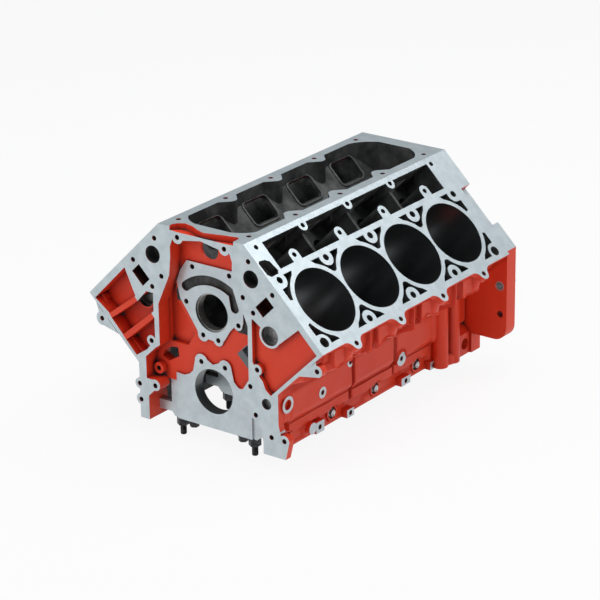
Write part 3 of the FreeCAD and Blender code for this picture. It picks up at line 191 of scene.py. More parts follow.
# %% A builder for node trees
class Recipe:
    """Adds nodes to one material and links them."""

    def __init__(self, name):
        self.material = bpy.data.materials.new(name)
        self.material.use_nodes = True
        self.tree = self.material.node_tree
        self.shader = self.tree.nodes["Principled BSDF"]
        self.coordinates = self.tree.nodes.new("ShaderNodeTexCoord").outputs["Object"]
        split = self.tree.nodes.new("ShaderNodeSeparateXYZ")
        self.tree.links.new(self.coordinates, split.inputs[0])
        self.x, self.y, self.z = split.outputs
        facing = self.tree.nodes.new("ShaderNodeSeparateXYZ")
        self.tree.links.new(self.tree.nodes.new("ShaderNodeTexCoord").outputs["Normal"], facing.inputs[0])
        self.faces_x, self.faces_y, self.faces_z = facing.outputs

    def feed(self, value, socket):
        if isinstance(value, bpy.types.NodeSocket):
            self.tree.links.new(value, socket)
        else:
            socket.default_value = value

    def math(self, operation, *values):
        node = self.tree.nodes.new("ShaderNodeMath")
        node.operation = operation
        for value, socket in zip(values, node.inputs):
            self.feed(value, socket)
        return node.outputs[0]

    def near(self, value, target, width=0.0004):
        """1 where the value lies within the width of the target, else 0."""
        return self.math("COMPARE", value, target, width)

    def above(self, value, limit):
        return self.math("GREATER_THAN", value, limit)

    def below(self, value, limit):
        return self.math("LESS_THAN", value, limit)

    def between(self, *limits):
        """1 where each value lies between its two limits, of which None leaves one open."""
        masks = []
        for value, low, high in limits:
            if low is not None:
                masks.append(self.above(value, low))
            if high is not None:
                masks.append(self.below(value, high))
        return self.all_of(*masks)

    def all_of(self, *masks):
        total = masks[0]
        for mask in masks[1:]:
            total = self.math("MULTIPLY", total, mask)
        return total

    def any_of(self, *masks):
        total = masks[0]
        for mask in masks[1:]:
            total = self.math("MAXIMUM", total, mask)
        return total

    def outside(self, mask):
        return self.math("SUBTRACT", 1.0, mask)

    def blend_of(self, first, share, second, other_share):
        parts = self.math("MULTIPLY", first, share), self.math("MULTIPLY", second, other_share)
        return self.math("ADD", *parts)

    def reach(self, first, second, middle=(0.0, 0.0)):
        """Distance from a line that runs square to the two values and meets them at the middle."""
        offsets = [self.math("SUBTRACT", value, start) if start else value
                   for value, start in zip((first, second), middle)]
        squares = [self.math("MULTIPLY", offset, offset) for offset in offsets]
        return self.math("SQRT", self.math("ADD", *squares))

    def noise(self, scale, detail):
        node = self.tree.nodes.new("ShaderNodeTexNoise")
        node.inputs["Scale"].default_value = scale
        node.inputs["Detail"].default_value = detail
        node.inputs["Roughness"].default_value = 0.55
        self.tree.links.new(self.coordinates, node.inputs["Vector"])
        return node.outputs["Fac"]

    def ramp(self, value, low, high, bottom=0.0, top=1.0):
        node = self.tree.nodes.new("ShaderNodeMapRange")
        for number, socket in zip((low, high, bottom, top), node.inputs[1:5]):
            socket.default_value = number
        self.feed(value, node.inputs["Value"])
        return node.outputs[0]

    def mix(self, factor, first, second):
        node = self.tree.nodes.new("ShaderNodeMix")
        node.data_type = "RGBA"
        self.feed(factor, node.inputs[0])
        for value, socket in ((first, node.inputs[6]), (second, node.inputs[7])):
            self.feed(value if isinstance(value, bpy.types.NodeSocket) else (*value, 1), socket)
        return node.outputs[2]

    def mix_number(self, factor, first, second):
        node = self.tree.nodes.new("ShaderNodeMix")
        for value, socket in ((factor, node.inputs[0]), (first, node.inputs[2]), (second, node.inputs[3])):
            self.feed(value, socket)
        return node.outputs[0]

    def bump(self, height, distance, strength):
        node = self.tree.nodes.new("ShaderNodeBump")
        node.inputs["Distance"].default_value = distance
        node.inputs["Strength"].default_value = strength
        self.tree.links.new(height, node.inputs["Height"])
        self.tree.links.new(node.outputs[0], self.shader.inputs["Normal"])

    def shade_occlusion(self, distance):
        """1 in the open, towards 0 where other surfaces crowd round, as in a drilled hole. Colours use it to
        paint shade.
        """
        node = self.tree.nodes.new("ShaderNodeAmbientOcclusion")
        node.samples = 8
        node.only_local = True
        node.inputs["Distance"].default_value = distance
        return node.outputs["AO"]

    def finish(self, **inputs):
        for name, value in inputs.items():
            self.feed(value, self.shader.inputs[name.replace("_", " ")])
        return self.material


print("recipe helpers are ready")

# %% [markdown]
# ## Paint and milled iron
# The casting was sprayed orange all over, and then its decks, front face, rails and bores were milled or
# bored through the paint. So the paint is the base, and bare iron shows wherever a cutter went. The inside
# of the valley and the lifter galleries was masked off and is dark, oiled iron.

# %% Measures and colours of the casting
DECK_HEIGHT = 0.2352
BORE_SPACING = 0.11176
BANK_STAGGER = 0.02413
BORE_RADIUS = 0.05315
FRONT = -0.0309
REAR = 0.4851
LAND_FACE = -0.0093
RAIL_TOP = 0.2545
PAN_FACE = -0.064
PAD_FACE = 0.136
BOSS_FACE = 0.138
CAM_HEIGHT = 0.1248
MAIN_BORE_EDGE = 0.0354
CAM_BORE_EDGE = 0.0300
SLOPE = math.sqrt(0.5)
FLAT = 0.97

PAINT = (0.73, 0.046, 0.016)
PAINTED_SHADE_ON_PAINT = (0.40, 0.020, 0.008)
PAINT_LIGHT = (0.79, 0.062, 0.022)
MILLED = (0.49, 0.56, 0.59)
MILLED_PALE = (0.57, 0.64, 0.67)
MILLED_DARK = (0.38, 0.43, 0.46)
OILED = (0.035, 0.036, 0.036)
OILED_PALE = (0.120, 0.122, 0.120)
HONED = (0.130, 0.140, 0.145)
RUSTY = (0.060, 0.016, 0.010)
PAINT_ROUGHNESS = 0.42
PAINT_SHEEN = 0.3
OILED_ROUGHNESS = 0.6
HONED_ROUGHNESS = 0.32
MILLED_ROUGHNESS = 0.38
MILLED_METAL = 0.55
SKIN_GRAIN = 0.0006
HOLE_DEPTH = 0.011
print("the decks lie", DECK_HEIGHT, "m from the crankshaft")

# %% [markdown]
# Paint and milled iron are each mixed once, for every piece that shows them. Enamel is a little uneven,
# and has painted shade where other surfaces crowd round. Milled iron is cloudy, with darker grains of
# graphite.

# %% Paint and milled iron
def paint_with_painted_shade(recipe, shade_occlusion):
    blotches = recipe.noise(9, 5)
    paint = recipe.mix(recipe.ramp(blotches, 0.35, 0.7), PAINT, PAINT_LIGHT)
    # Painted shade: the paint turns to a darker red where other surfaces crowd round it
    return recipe.mix(recipe.ramp(shade_occlusion, 0.45, 0.97, 0.9, 0.0), paint, PAINTED_SHADE_ON_PAINT)


def milled_iron(recipe):
    clouds, grains = recipe.noise(60, 3), recipe.noise(420, 3)
    iron = recipe.mix(recipe.ramp(clouds, 0.35, 0.65), MILLED, MILLED_PALE)
    return recipe.mix(recipe.ramp(grains, 0.58, 0.75, 0.0, 0.5), iron, MILLED_DARK)


def dress(node, material):
    """Gives a carried-over node one finish, by its slots alone."""
    slots = nodes[node].data.materials
    slots.clear()
    slots.append(material)


print("paint and milled iron are mixed")

# %% [markdown]
# The casting needs two more directions than x, y and z, because its banks lean: the height above the
# crankshaft, square to the deck, and the offset across the bank, which is 0 in the middle of a cylinder.
# They are the same for both banks once x is counted outwards.

# %% Directions of a bank
class CastingRecipe(Recipe):
    """A recipe that also reads a place as one on a leaning bank."""

    def __init__(self, name):
        super().__init__(name)
        self.side = self.math("ABSOLUTE", self.x)
        self.left = self.above(self.x, 0.0)
        self.height = self.math("MULTIPLY", self.math("ADD", self.side, self.z), SLOPE)
        self.across = self.math("MULTIPLY", self.math("SUBTRACT", self.side, self.z), SLOPE)
        outward = self.math("MULTIPLY", self.faces_x, self.math("SIGN", self.x))
        self.up_bank = self.math("MULTIPLY", self.math("ADD", outward, self.faces_z), SLOPE)


print("a bank leans", round(math.degrees(math.acos(SLOPE))), "degrees")

# %% [markdown]
# A milled face is flat, so it is found by its place and by the way it faces. Two slanting webs of the
# right bank's front pockets end flush with the front face here, but on the real block they kept their
# paint, so they are taken out of the milled faces.

# %% Where a cutter went
# Each web: its direction across (x, z), its offset that way, and where it starts and stops along itself
WEBS = ((-0.600, 0.800, 0.1764, -0.0880, -0.0240), (-0.643, 0.766, 0.1420, -0.0770, -0.0030))
WEB_HALF = 0.0050
LANDS_TOP = 0.21
FIRST_PAD = 0.030
NOTCH_START = 0.440
NOTCH_FOOT = 0.20


def painted_webs(block):
    masks = []
    for turn_x, turn_z, offset, start, stop in WEBS:
        away = block.blend_of(block.x, turn_x, block.z, turn_z)
        along = block.blend_of(block.x, turn_z, block.z, -turn_x)
        masks.append(block.all_of(block.near(away, offset, WEB_HALF),
                                  block.between((along, start, stop), (block.y, None, 0.0))))
    return block.any_of(*masks)


def deck_faces(block):
    return block.all_of(block.near(block.height, DECK_HEIGHT), block.above(block.up_bank, FLAT))


def milled_faces(block):
    x, y, z = block.x, block.y, block.z
    front = block.all_of(block.near(y, FRONT), block.below(block.faces_y, -FLAT))
    rear = block.all_of(block.near(y, REAR), block.above(block.faces_y, FLAT))
    ends = block.all_of(block.any_of(front, rear), block.outside(painted_webs(block)))
    lands = block.all_of(block.near(y, LAND_FACE),
                         block.between((block.faces_y, None, -FLAT), (z, None, LANDS_TOP)))
    rails = block.all_of(block.near(z, RAIL_TOP), block.above(block.faces_z, FLAT))
    underside = block.all_of(block.near(z, PAN_FACE), block.below(block.faces_z, -FLAT))
    pads = block.all_of(block.near(x, PAD_FACE), block.above(y, FIRST_PAD))
    side_faces = block.all_of(block.any_of(pads, block.near(x, BOSS_FACE)), block.above(block.faces_x, FLAT))
    notch = block.between((y, NOTCH_START, None), (block.height, NOTCH_FOOT, None),
                          (block.up_bank, FLAT, None))
    return block.any_of(deck_faces(block), ends, lands, rails, underside, side_faces, notch)


print(len(WEBS), "webs stay painted")

# %% [markdown]
# Bores are round, so a distance from their axis finds them. The cylinders repeat along the engine at one
# spacing, and the right bank's stand further back than the left bank's.

# %% Where a boring bar went
def bored_faces(block):
    first = block.mix_number(block.left, (BORE_SPACING + BANK_STAGGER) / 2, (BORE_SPACING - BANK_STAGGER) / 2)
    step = block.math("DIVIDE", block.math("SUBTRACT", block.y, first), BORE_SPACING)
    along = block.math("MULTIPLY", block.math("SUBTRACT", step, block.math("ROUND", step)), BORE_SPACING)
    cylinders = block.all_of(block.below(block.reach(block.across, along), BORE_RADIUS + 0.0005),
                             block.between((step, -0.5, 3.5), (block.height, 0.08, None)),
                             block.outside(deck_faces(block)))
    crank = block.below(block.reach(block.x, block.z), MAIN_BORE_EDGE)
    cam = block.below(block.reach(block.x, block.z, (0.0, CAM_HEIGHT)), CAM_BORE_EDGE)
    return block.any_of(cylinders, crank, cam)


print("a cylinder's radius is", BORE_RADIUS)

# %% [markdown]
# What the spray never reached is dark, oiled iron: the valley, the lifter galleries, the water slots, the
# cam tunnel and the crankcase. The tunnel is round, and each of the others is a box with its limits.

# %% The large spaces
VALLEY_HALF = 0.0625
VALLEY_FLOOR = 0.150
VALLEY_ENDS = (0.0015, 0.4695)
GALLERY_ACROSS = (-0.119, -0.066)
GALLERY_SIDE = 0.0620
GALLERY_FLOOR = 0.17
GALLERY_ENDS = (-0.0285, 0.458)
JACKET_ACROSS = (-0.068, 0.064)
JACKET_FLOOR = 0.186
JACKET_FRONT_LEFT = -0.018
JACKET_REAR = 0.455
CAM_TUNNEL_RADIUS = 0.0365
CAM_TUNNEL_FRONT = -0.004
CRANKCASE_HALF = 0.1072
CRANKCASE_ENDS = (0.012, 0.458)
CRANKCASE_TOP = 0.13
CRANKCASE_DECK_SIDE = 0.145


def insides(block):
    x, y, z, side, height, across = block.x, block.y, block.z, block.side, block.height, block.across
    valley = block.between((side, None, VALLEY_HALF), (z, VALLEY_FLOOR, None), (y, *VALLEY_ENDS))
    gallery = block.between((across, *GALLERY_ACROSS), (height, GALLERY_FLOOR, None), (y, *GALLERY_ENDS),
                            (side, GALLERY_SIDE, None))
    behind = block.math("SUBTRACT", y, block.mix_number(block.left, 0.0, JACKET_FRONT_LEFT))
    jacket = block.between((across, *JACKET_ACROSS), (height, JACKET_FLOOR, None), (behind, 0.0, None),
                           (y, None, JACKET_REAR))
    tunnel = block.between((block.reach(x, z, (0.0, CAM_HEIGHT)), None, CAM_TUNNEL_RADIUS),
                           (y, CAM_TUNNEL_FRONT, None))
    crankcase = block.between((side, None, CRANKCASE_HALF), (y, *CRANKCASE_ENDS),
                              (height, None, CRANKCASE_DECK_SIDE), (z, None, CRANKCASE_TOP))
    # The corner of the first bay that shows through the timing chest caught some paint
    seen_bay = block.between((x, 0.040, None), (z, 0.020, None), (y, None, 0.075))
    return block.any_of(valley, gallery, jacket, tunnel, block.all_of(crankcase, block.outside(seen_bay)))


print("the valley is", 2 * VALLEY_HALF, "m wide")

# %% [markdown]
# The ports of the front face are circles and a square that reach a little way behind it. Drilled holes
# are found all at once instead, by how closely their own walls crowd round. The dark oiled iron that they
# get is partly bare metal and partly painted shade, and any other tight corner gets it too.

# %% The ports and holes
PORT_REAR = -0.006
ROUND_PORT = (0.090, 0.204)
ROUND_PORT_RADIUS = 0.0142
# The square port's middle and half width, across the bank and up it
SQUARE_PORT_ACROSS = (-0.0371, 0.0102)
SQUARE_PORT_HEIGHT = (0.1983, 0.0147)
OIL_MOUTH = (0.114, 0.016)
OIL_MOUTH_RADIUS = 0.0092
CORE_HOLE = (0.1220, 0.1240)
CORE_HOLE_RADIUS = 0.0155
SLOT_MIDDLE = (0.0, 0.1025)
BOSS_HOLE = (-0.011, 0.014)
BOSS_HOLE_RADIUS = 0.0078


def front_port_walls(block):
    x, z, side = block.x, block.z, block.side
    behind_front = block.between((block.y, FRONT + 0.0005, PORT_REAR))
    round_port = block.below(block.reach(side, z, ROUND_PORT), ROUND_PORT_RADIUS)
    square_port = block.all_of(block.near(block.across, *SQUARE_PORT_ACROSS),
                               block.near(block.height, *SQUARE_PORT_HEIGHT))
    oil_mouth = block.below(block.reach(x, z, OIL_MOUTH), OIL_MOUTH_RADIUS)
    core_hole = block.below(block.reach(side, z, CORE_HOLE), CORE_HOLE_RADIUS)
    ports = block.all_of(block.any_of(round_port, square_port, oil_mouth, core_hole), behind_front)
    return ports, block.all_of(square_port, behind_front)


def thrust_slot(block):
    """The curved slot over the cam bore, with its longer end low on the left."""
    from_middle = block.reach(block.x, block.z, SLOT_MIDDLE)
    arch = block.all_of(block.near(from_middle, 0.072, 0.0085), block.above(block.z, 0.130))
    low_end = block.all_of(block.near(from_middle, 0.062, 0.0165),
                           block.between((block.z, 0.104, None), (block.x, 0.030, 0.0745)))
    return block.all_of(block.any_of(arch, low_end), block.between((block.y, LAND_FACE + 0.0005, -0.0038)))


def drilled_holes(block, shade_occlusion):
    boss_hole = block.all_of(block.below(block.reach(block.y, block.z, BOSS_HOLE), BOSS_HOLE_RADIUS),
                             block.between((block.x, 0.126, 0.1375)))
    # Dark where walls crowd round: bare iron in the holes, painted shade in other tight corners
    return block.any_of(block.below(shade_occlusion, 0.40), boss_hole)


print("the core holes' radius is", CORE_HOLE_RADIUS)

# %% [markdown]
# The masks are laid over each other: oiled iron over paint, honed iron in the bores, milled iron on top.
# Bare metal is shinier than paint, and only what was cast has a grainy skin.

# %% Dress the casting
def casting_finish():
    block = CastingRecipe("painted_iron_casting")
    shade_occlusion = block.shade_occlusion(HOLE_DEPTH)
    milled, bores = milled_faces(block), bored_faces(block)
    ports, square_port = front_port_walls(block)
    unpainted = block.any_of(insides(block), ports, thrust_slot(block), drilled_holes(block, shade_occlusion))
    bare = block.all_of(unpainted, block.outside(milled))
    oiled = block.mix(block.ramp(block.noise(30, 4), 0.4, 0.7), OILED, OILED_PALE)
    oiled = block.mix(square_port, oiled, RUSTY)
    colour = block.mix(bare, paint_with_painted_shade(block, shade_occlusion), oiled)
    colour = block.mix(bores, colour, HONED)
    colour = block.mix(block.all_of(milled, block.outside(bores)), colour, milled_iron(block))
    metal = block.mix_number(bores, block.mix_number(bare, 0.0, 0.4), 0.9)
    metal = block.mix_number(milled, metal, MILLED_METAL)
    rough = block.mix_number(bores, block.mix_number(bare, PAINT_ROUGHNESS, OILED_ROUGHNESS), HONED_ROUGHNESS)
    rough = block.mix_number(milled, rough, MILLED_ROUGHNESS)
    block.bump(block.mix_number(block.any_of(milled, bores), block.noise(700, 4), 0.5), SKIN_GRAIN, 0.5)
    block.shader.inputs["Specular IOR Level"].default_value = PAINT_SHEEN
    return block.finish(Base_Color=colour, Metallic=metal, Roughness=rough)


def painted_wall_finish():
    recipe = Recipe("painted_cast_wall")
    # The relief's paint gets painted shade where its own forms crowd round, reaching further than the
    # casting's
    paint = paint_with_painted_shade(recipe, recipe.shade_occlusion(0.024))
    recipe.bump(recipe.noise(700, 4), SKIN_GRAIN, 0.5)
    recipe.shader.inputs["Specular IOR Level"].default_value = PAINT_SHEEN
    return recipe.finish(Base_Color=paint, Roughness=PAINT_ROUGHNESS)


wall_paint = painted_wall_finish()
dress("block_casting", casting_finish())
print("the casting is painted and milled")

# %% [markdown]
# ## Caps
# The main caps are milled all over and stay bare, so they are the same grey as the front face, with
# painted shade of oiled iron where other surfaces crowd round. Their bores are honed with the block.

# %% The caps' finish
def cap_finish():
    recipe = Recipe("milled_cap_iron")
    bore = recipe.below(recipe.reach(recipe.x, recipe.z), MAIN_BORE_EDGE)
    # Painted shade: the iron turns to dark oiled iron where the cap's own surfaces crowd round
    iron = recipe.mix(recipe.below(recipe.shade_occlusion(HOLE_DEPTH), 0.30), milled_iron(recipe), OILED)
    colour = recipe.mix(bore, iron, HONED)
    rough = recipe.mix_number(bore, MILLED_ROUGHNESS, 0.3)
    return recipe.finish(Base_Color=colour, Metallic=MILLED_METAL, Roughness=rough)


cap_iron = cap_finish()
for number in range(1, 6):
    dress(f"main_cap_{number}", cap_iron)
print("five caps are milled")

# %% [markdown]
# ## Metals of the small pieces
# Bolts, studs and nuts are black, the side bolts are plated, and shells and plugs have the plain grey of
# their own metal. One recipe serves all: a colour that is worn to a second one in small patches.

# %% Plain metals
def metal_finish(name, base, worn, rough, scale=260):
    recipe = Recipe(name)
    wear = recipe.ramp(recipe.noise(scale, 4), 0.45, 0.7)
    recipe.bump(recipe.noise(900, 2), 0.0002, 0.3)
    return recipe.finish(Base_Color=recipe.mix(wear, base, worn), Metallic=0.85,
                         Roughness=recipe.ramp(wear, 0, 1, rough, rough + 0.12))


black_steel = metal_finish("black_steel", (0.028, 0.029, 0.031), (0.075, 0.077, 0.08), 0.38)
bright_steel = metal_finish("bright_steel", (0.55, 0.56, 0.56), (0.40, 0.41, 0.42), 0.3)
bearing_metal = metal_finish("bearing_metal", (0.38, 0.38, 0.37), (0.52, 0.51, 0.48), 0.34)
plug_steel = metal_finish("plug_steel", (0.20, 0.205, 0.205), (0.34, 0.34, 0.33), 0.36)
core_iron = metal_finish("core_iron", (0.075, 0.078, 0.078), (0.14, 0.145, 0.145), 0.5, scale=60)
seal_rubber = Recipe("black_seal").finish(Base_Color=(0.012, 0.012, 0.013, 1), Roughness=0.55)
for number in range(1, 6):
    dress(f"cam_bearing_{number}", bearing_metal)
for node in ("front_oil_gallery_plug", "rear_oil_gallery_plug", "front_core_plugs", "rear_core_plugs"):
    dress(node, plug_steel)
for node in ("inner_cap_bolts", "outer_cap_studs", "outer_cap_nuts"):
    dress(node, black_steel)
for node in ("bellhousing_dowels", "side_cap_bolts"):
    dress(node, bright_steel)
print("the small pieces have their metals")

# %% [markdown]
# ## Working on a piece by hand
# Every added piece starts as a primitive, is shaped in edit mode, and is then laid in its place. Its
# object ends at the origin, unturned and unscaled, with its place in its mesh, as the CAD nodes have it.

# %% Helpers for modelling
def start_piece(name):
    piece = bpy.context.object
    piece.name = name
    return piece


def select_faces(piece, wanted):
    """Selects, in edit mode, the faces whose middle and normal the test accepts."""
    bpy.ops.object.mode_set(mode="EDIT")
    bpy.ops.mesh.select_mode(type="FACE")
    bpy.ops.mesh.select_all(action="DESELECT")
    bpy.ops.object.mode_set(mode="OBJECT")
    for face in piece.data.polygons:
        face.select = wanted(face.center, face.normal)
    bpy.ops.object.mode_set(mode="EDIT")


def round_edges(piece, width, segments=2, angle=40):
    bevel = piece.modifiers.new("rounding", "BEVEL")
    bevel.width = width
    bevel.segments = segments
    bevel.limit_method = "ANGLE"
    bevel.angle_limit = math.radians(angle)
    bpy.context.view_layer.objects.active = piece
    bpy.ops.object.modifier_apply(modifier=bevel.name)


def settle(piece):
    """Puts the piece's place, turn and size into its mesh, and smooths what is round."""
    bpy.ops.object.select_all(action="DESELECT")
    piece.select_set(True)
    bpy.context.view_layer.objects.active = piece
    bpy.ops.object.transform_apply(location=True, rotation=True, scale=True)
    bpy.ops.object.shade_smooth_by_angle(angle=math.radians(35))


def join_pieces(pieces, name):
    bpy.ops.object.select_all(action="DESELECT")
    for piece in pieces:
        piece.select_set(True)
    bpy.context.view_layer.objects.active = pieces[0]
    bpy.ops.object.join()
    whole = bpy.context.object
    whole.name = name
    return whole


def copies(model, spots, turns=None):
    """Copies a settled model to each spot, each copy with its own mesh, and drops the model."""
    made = []
    for index, spot in enumerate(spots):
        twin = model.copy()
        twin.data = model.data.copy()
        bpy.context.collection.objects.link(twin)
        twin.matrix_world = Matrix.Translation(spot) @ (turns[index] if turns else Matrix.Identity(4))
        settle(twin)
        made.append(twin)
    bpy.data.objects.remove(model)
    return made


def point_outwards():
    """Turns the active piece's faces so that they all point out of it."""
    bpy.ops.object.mode_set(mode="EDIT")
    bpy.ops.mesh.select_all(action="SELECT")
    bpy.ops.mesh.normals_make_consistent(inside=False)
    bpy.ops.object.mode_set(mode="OBJECT")


def thicken(piece, thickness, offset):
    wall = piece.modifiers.new("wall", "SOLIDIFY")
    wall.thickness = thickness
    wall.offset = offset
    bpy.ops.object.modifier_apply(modifier=wall.name)


def rod(name, radius, low, high, sides=20):
    """A round rod on the Z axis."""
    bpy.ops.mesh.primitive_cylinder_add(vertices=sides, radius=radius, depth=high - low,
                                        location=(0, 0, (low + high) / 2))
    piece = start_piece(name)
    settle(piece)
    return piece


def add_to_block(piece, material, *replaced):
    piece.data.materials.clear()
    piece.data.materials.append(material)
    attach(piece, "root")
    if replaced:
        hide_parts(*replaced)
    print(piece.name, "has", len(piece.data.polygons), "faces")


MAIN_SPOTS = [BORE_SPACING * index for index in range(5)]
SIDES = (1, -1)
CAP_FACE = -0.060
print("five mains,", round((MAIN_SPOTS[-1] - MAIN_SPOTS[0]) * 1000), "mm from first to last")

# %% [markdown]
# ## Threaded studs
# The outer fasteners of the caps are studs whose threaded tails hang below the nuts. A thread is a ridge
# that climbs one pitch in each turn. The stud is a cylinder cut into many thin rings, and each point is
# moved out or in by how far its height is from the ridge at its angle.

# %% Model a stud
STUD_RADIUS = 0.005
STUD_OFFSET = 0.0675
STUD_END = CAP_FACE - 0.028
THREAD_TOP = CAP_FACE - 0.010
SHANK_TOP = 0.045
THREAD_PITCH = 0.0015
THREAD_DEPTH = 0.0007
THREAD_STEPS = 6


def threaded_rod(name, radius, low, high):
    piece = rod(name, radius, low, high)
    bpy.ops.object.mode_set(mode="EDIT")
    bpy.ops.mesh.select_mode(type="EDGE")
    bpy.ops.mesh.select_all(action="DESELECT")
    bpy.ops.object.mode_set(mode="OBJECT")
    for edge in piece.data.edges:
        first, second = (piece.data.vertices[number].co for number in edge.vertices)
        edge.select = abs(first.z - second.z) > (high - low) / 2
    bpy.ops.object.mode_set(mode="EDIT")
    bpy.ops.mesh.subdivide(number_cuts=round((high - low) / THREAD_PITCH * THREAD_STEPS))
    bpy.ops.object.mode_set(mode="OBJECT")
    for vertex in piece.data.vertices:
        turn = math.atan2(vertex.co.y, vertex.co.x) / (2 * math.pi)
        phase = (vertex.co.z / THREAD_PITCH - turn) % 1
        ridge = 1 - abs(2 * phase - 1)
        end = min(vertex.co.z - low, high - vertex.co.z)
        taper = min(1, end / THREAD_PITCH)
        size = (radius - THREAD_DEPTH * (1 - ridge * taper)) / radius
        vertex.co.x *= size
        vertex.co.y *= size
    point_outwards()
    return piece


tail = threaded_rod("stud_tail", STUD_RADIUS, STUD_END, THREAD_TOP)
shank = rod("stud_shank", STUD_RADIUS - THREAD_DEPTH, THREAD_TOP, SHANK_TOP)
stud = join_pieces([tail, shank], "stud")
settle(stud)
STUD_SPOTS = [Vector((STUD_OFFSET * side, y, 0)) for y in MAIN_SPOTS for side in SIDES]
studs = join_pieces(copies(stud, STUD_SPOTS), "threaded_studs")
add_to_block(studs, black_steel, "outer_cap_studs")

# %% [markdown]
# ## Nuts and bolt heads
# A forged hexagon has its corners turned off to a cone, so each flat ends in a curve. A bevel of the two
# ends gives that chamfer, and a washer face is a thin disc under the hexagon.

# %% Model the hexagons
BOLT_OFFSET = 0.046


def hexagon_head(name, width, height, low, washer_radius, washer_height, dish=0.0):
    """A hexagon that stands on its washer face, with its free end at the low side."""
    bpy.ops.mesh.primitive_cylinder_add(vertices=6, radius=width / 2 / math.cos(math.pi / 6), depth=height,
                                        location=(0, 0, low + height / 2))
    head = start_piece(name)
    settle(head)
    select_faces(head, lambda middle, normal: normal.z < -0.9)
    bpy.ops.mesh.inset(thickness=width * 0.09, depth=0)
    bpy.ops.transform.translate(value=(0, 0, -width * 0.045))
    if dish:
        bpy.ops.mesh.inset(thickness=width * 0.16, depth=0)
        bpy.ops.transform.translate(value=(0, 0, dish))
    bpy.ops.object.mode_set(mode="OBJECT")
    round_edges(head, width * 0.03)
    washer = rod(name + "_washer", washer_radius, low + height, low + height + washer_height, sides=32)
    round_edges(washer, washer_height * 0.25)
    whole = join_pieces([head, washer], name)
    settle(whole)
    return whole


nut = hexagon_head("nut", width=0.017, height=0.0112, low=CAP_FACE - 0.0118,
                   washer_radius=0.0082, washer_height=0.0010)
nuts = join_pieces(copies(nut, STUD_SPOTS), "stud_nuts")
add_to_block(nuts, black_steel, "outer_cap_nuts")

bolt = hexagon_head("bolt", width=0.013, height=0.0084, low=CAP_FACE - 0.0104,
                    washer_radius=0.009, washer_height=0.002, dish=0.002)
bolt = join_pieces([bolt, rod("bolt_shank", 0.005, CAP_FACE, SHANK_TOP)], "bolt")
settle(bolt)
BOLT_SPOTS = [Vector((BOLT_OFFSET * side, y, 0)) for y in MAIN_SPOTS for side in SIDES]
bolts = join_pieces(copies(bolt, BOLT_SPOTS), "cap_bolts")
add_to_block(bolts, black_steel, "inner_cap_bolts")

# %% [markdown]
# ## Side bolts and their seals
# The side bolts have pale plated heads on a black sealing washer, which shows as a dark ring in each
# recess of the skirt. The bolts are turned so that their heads face out to the left or the right.

# %% Model the side bolts
SIDE_SEAT = 0.123
SIDE_DROP = -0.046
SIDE_SHANK = 0.038

side_bolt = hexagon_head("side_bolt", width=0.0098, height=0.0045, low=-0.0066,
                         washer_radius=0.0062, washer_height=0.0020, dish=0.0016)
side_bolt = join_pieces([side_bolt, rod("side_shank", 0.004, 0, SIDE_SHANK)], "side_bolt")
settle(side_bolt)
SIDE_SPOTS = [Vector((SIDE_SEAT * side, y, SIDE_DROP)) for y in MAIN_SPOTS for side in SIDES]
SIDE_TURNS = [Matrix.Rotation(-side * math.pi / 2, 4, "Y") for y in MAIN_SPOTS for side in SIDES]
side_bolts = join_pieces(copies(side_bolt, SIDE_SPOTS, SIDE_TURNS), "side_bolts")
add_to_block(side_bolts, bright_steel, "side_cap_bolts")

bpy.ops.mesh.primitive_torus_add(major_segments=40, minor_segments=10, major_radius=0.0078,
                                 minor_radius=0.0012, location=(0, 0, -0.0010))
seal = start_piece("side_seal")
settle(seal)
seals = join_pieces(copies(seal, SIDE_SPOTS, SIDE_TURNS), "side_seals")
add_to_block(seals, seal_rubber)

# %% [markdown]
# ## Cast relief of the side walls
# A sand-cast wall is never flat. Outside each cylinder the water jacket bulges, a column runs down from
# each bolt ear, thin ribs stand between the bays, and panels, collars and rail bumps stand proud of the
# skirt. One grid is laid along the wall and its points are lifted by the sum of those forms, so they run
# into each other with soft fillets as in iron. It goes below the wall at its border, where it ends unseen.

# %% Measures of the relief
SKIN_STEP = 0.0019
SKIN_PROUD = 0.0008
SKIN_BURY = 0.0022
FRONT_FLANGE_BACK = -0.0189
REAR_FLANGE_FACE = 0.4601
# Each wall from its deck edge down to its rail, as corners (x, z)
LEFT_PATH = ((0.2042, 0.1123), (0.1318, 0.0399), (0.1350, 0.0345), (0.1350, -0.0120),
             (0.1240, -0.0190), (0.1240, -0.0630))
RIGHT_PATH = ((0.2042, 0.1123), (0.1240, 0.0321), (0.1240, -0.0630))
BANK_WALL = 0.065
# First bolt ear of each side's deck edge, along the engine
EAR_Y = {1: 0.0438, -1: 0.0679}
EAR_RADIUS = 0.0095
# Round bosses of the left side: (y, z, radius)
SIDE_BOSSES = ((-0.011, 0.014, 0.013), (0.074, 0.003, 0.009), (0.145, 0.027, 0.008),
               (0.279, -0.014, 0.012), (0.049, -0.046, 0.009))
GROOVES = (0.1535, 0.2630)
GROOVE_HALF = 0.0048
GROOVE_DEEP = 0.0034
# Columns before the rear flange: (x, y, radius)
REAR_COLUMNS = ((0.1400, 0.3830, 0.0130), (0.1440, 0.4110, 0.0120))
print("the relief reaches from y", FRONT_FLANGE_BACK, "to", REAR_FLANGE_FACE)

# %% [markdown]
# Soft steps and plateaus make every form: each runs from 0 to 1 with no corner, as sand leaves iron.

# %% Soft shapes
def smooth_step(value):
    share = min(1.0, max(0.0, value))
    return share * share * (3 - 2 * share)


def plateau(value, low, high, soft):
    """1 between low and high, falling smoothly to 0 over the soft width outside."""
    return smooth_step((value - low) / soft + 1) * smooth_step((high - value) / soft + 1)


def half_round(offset, radius):
    return math.sqrt(max(0.0, radius * radius - offset * offset))


print("half way up a soft step:", smooth_step(0.5))

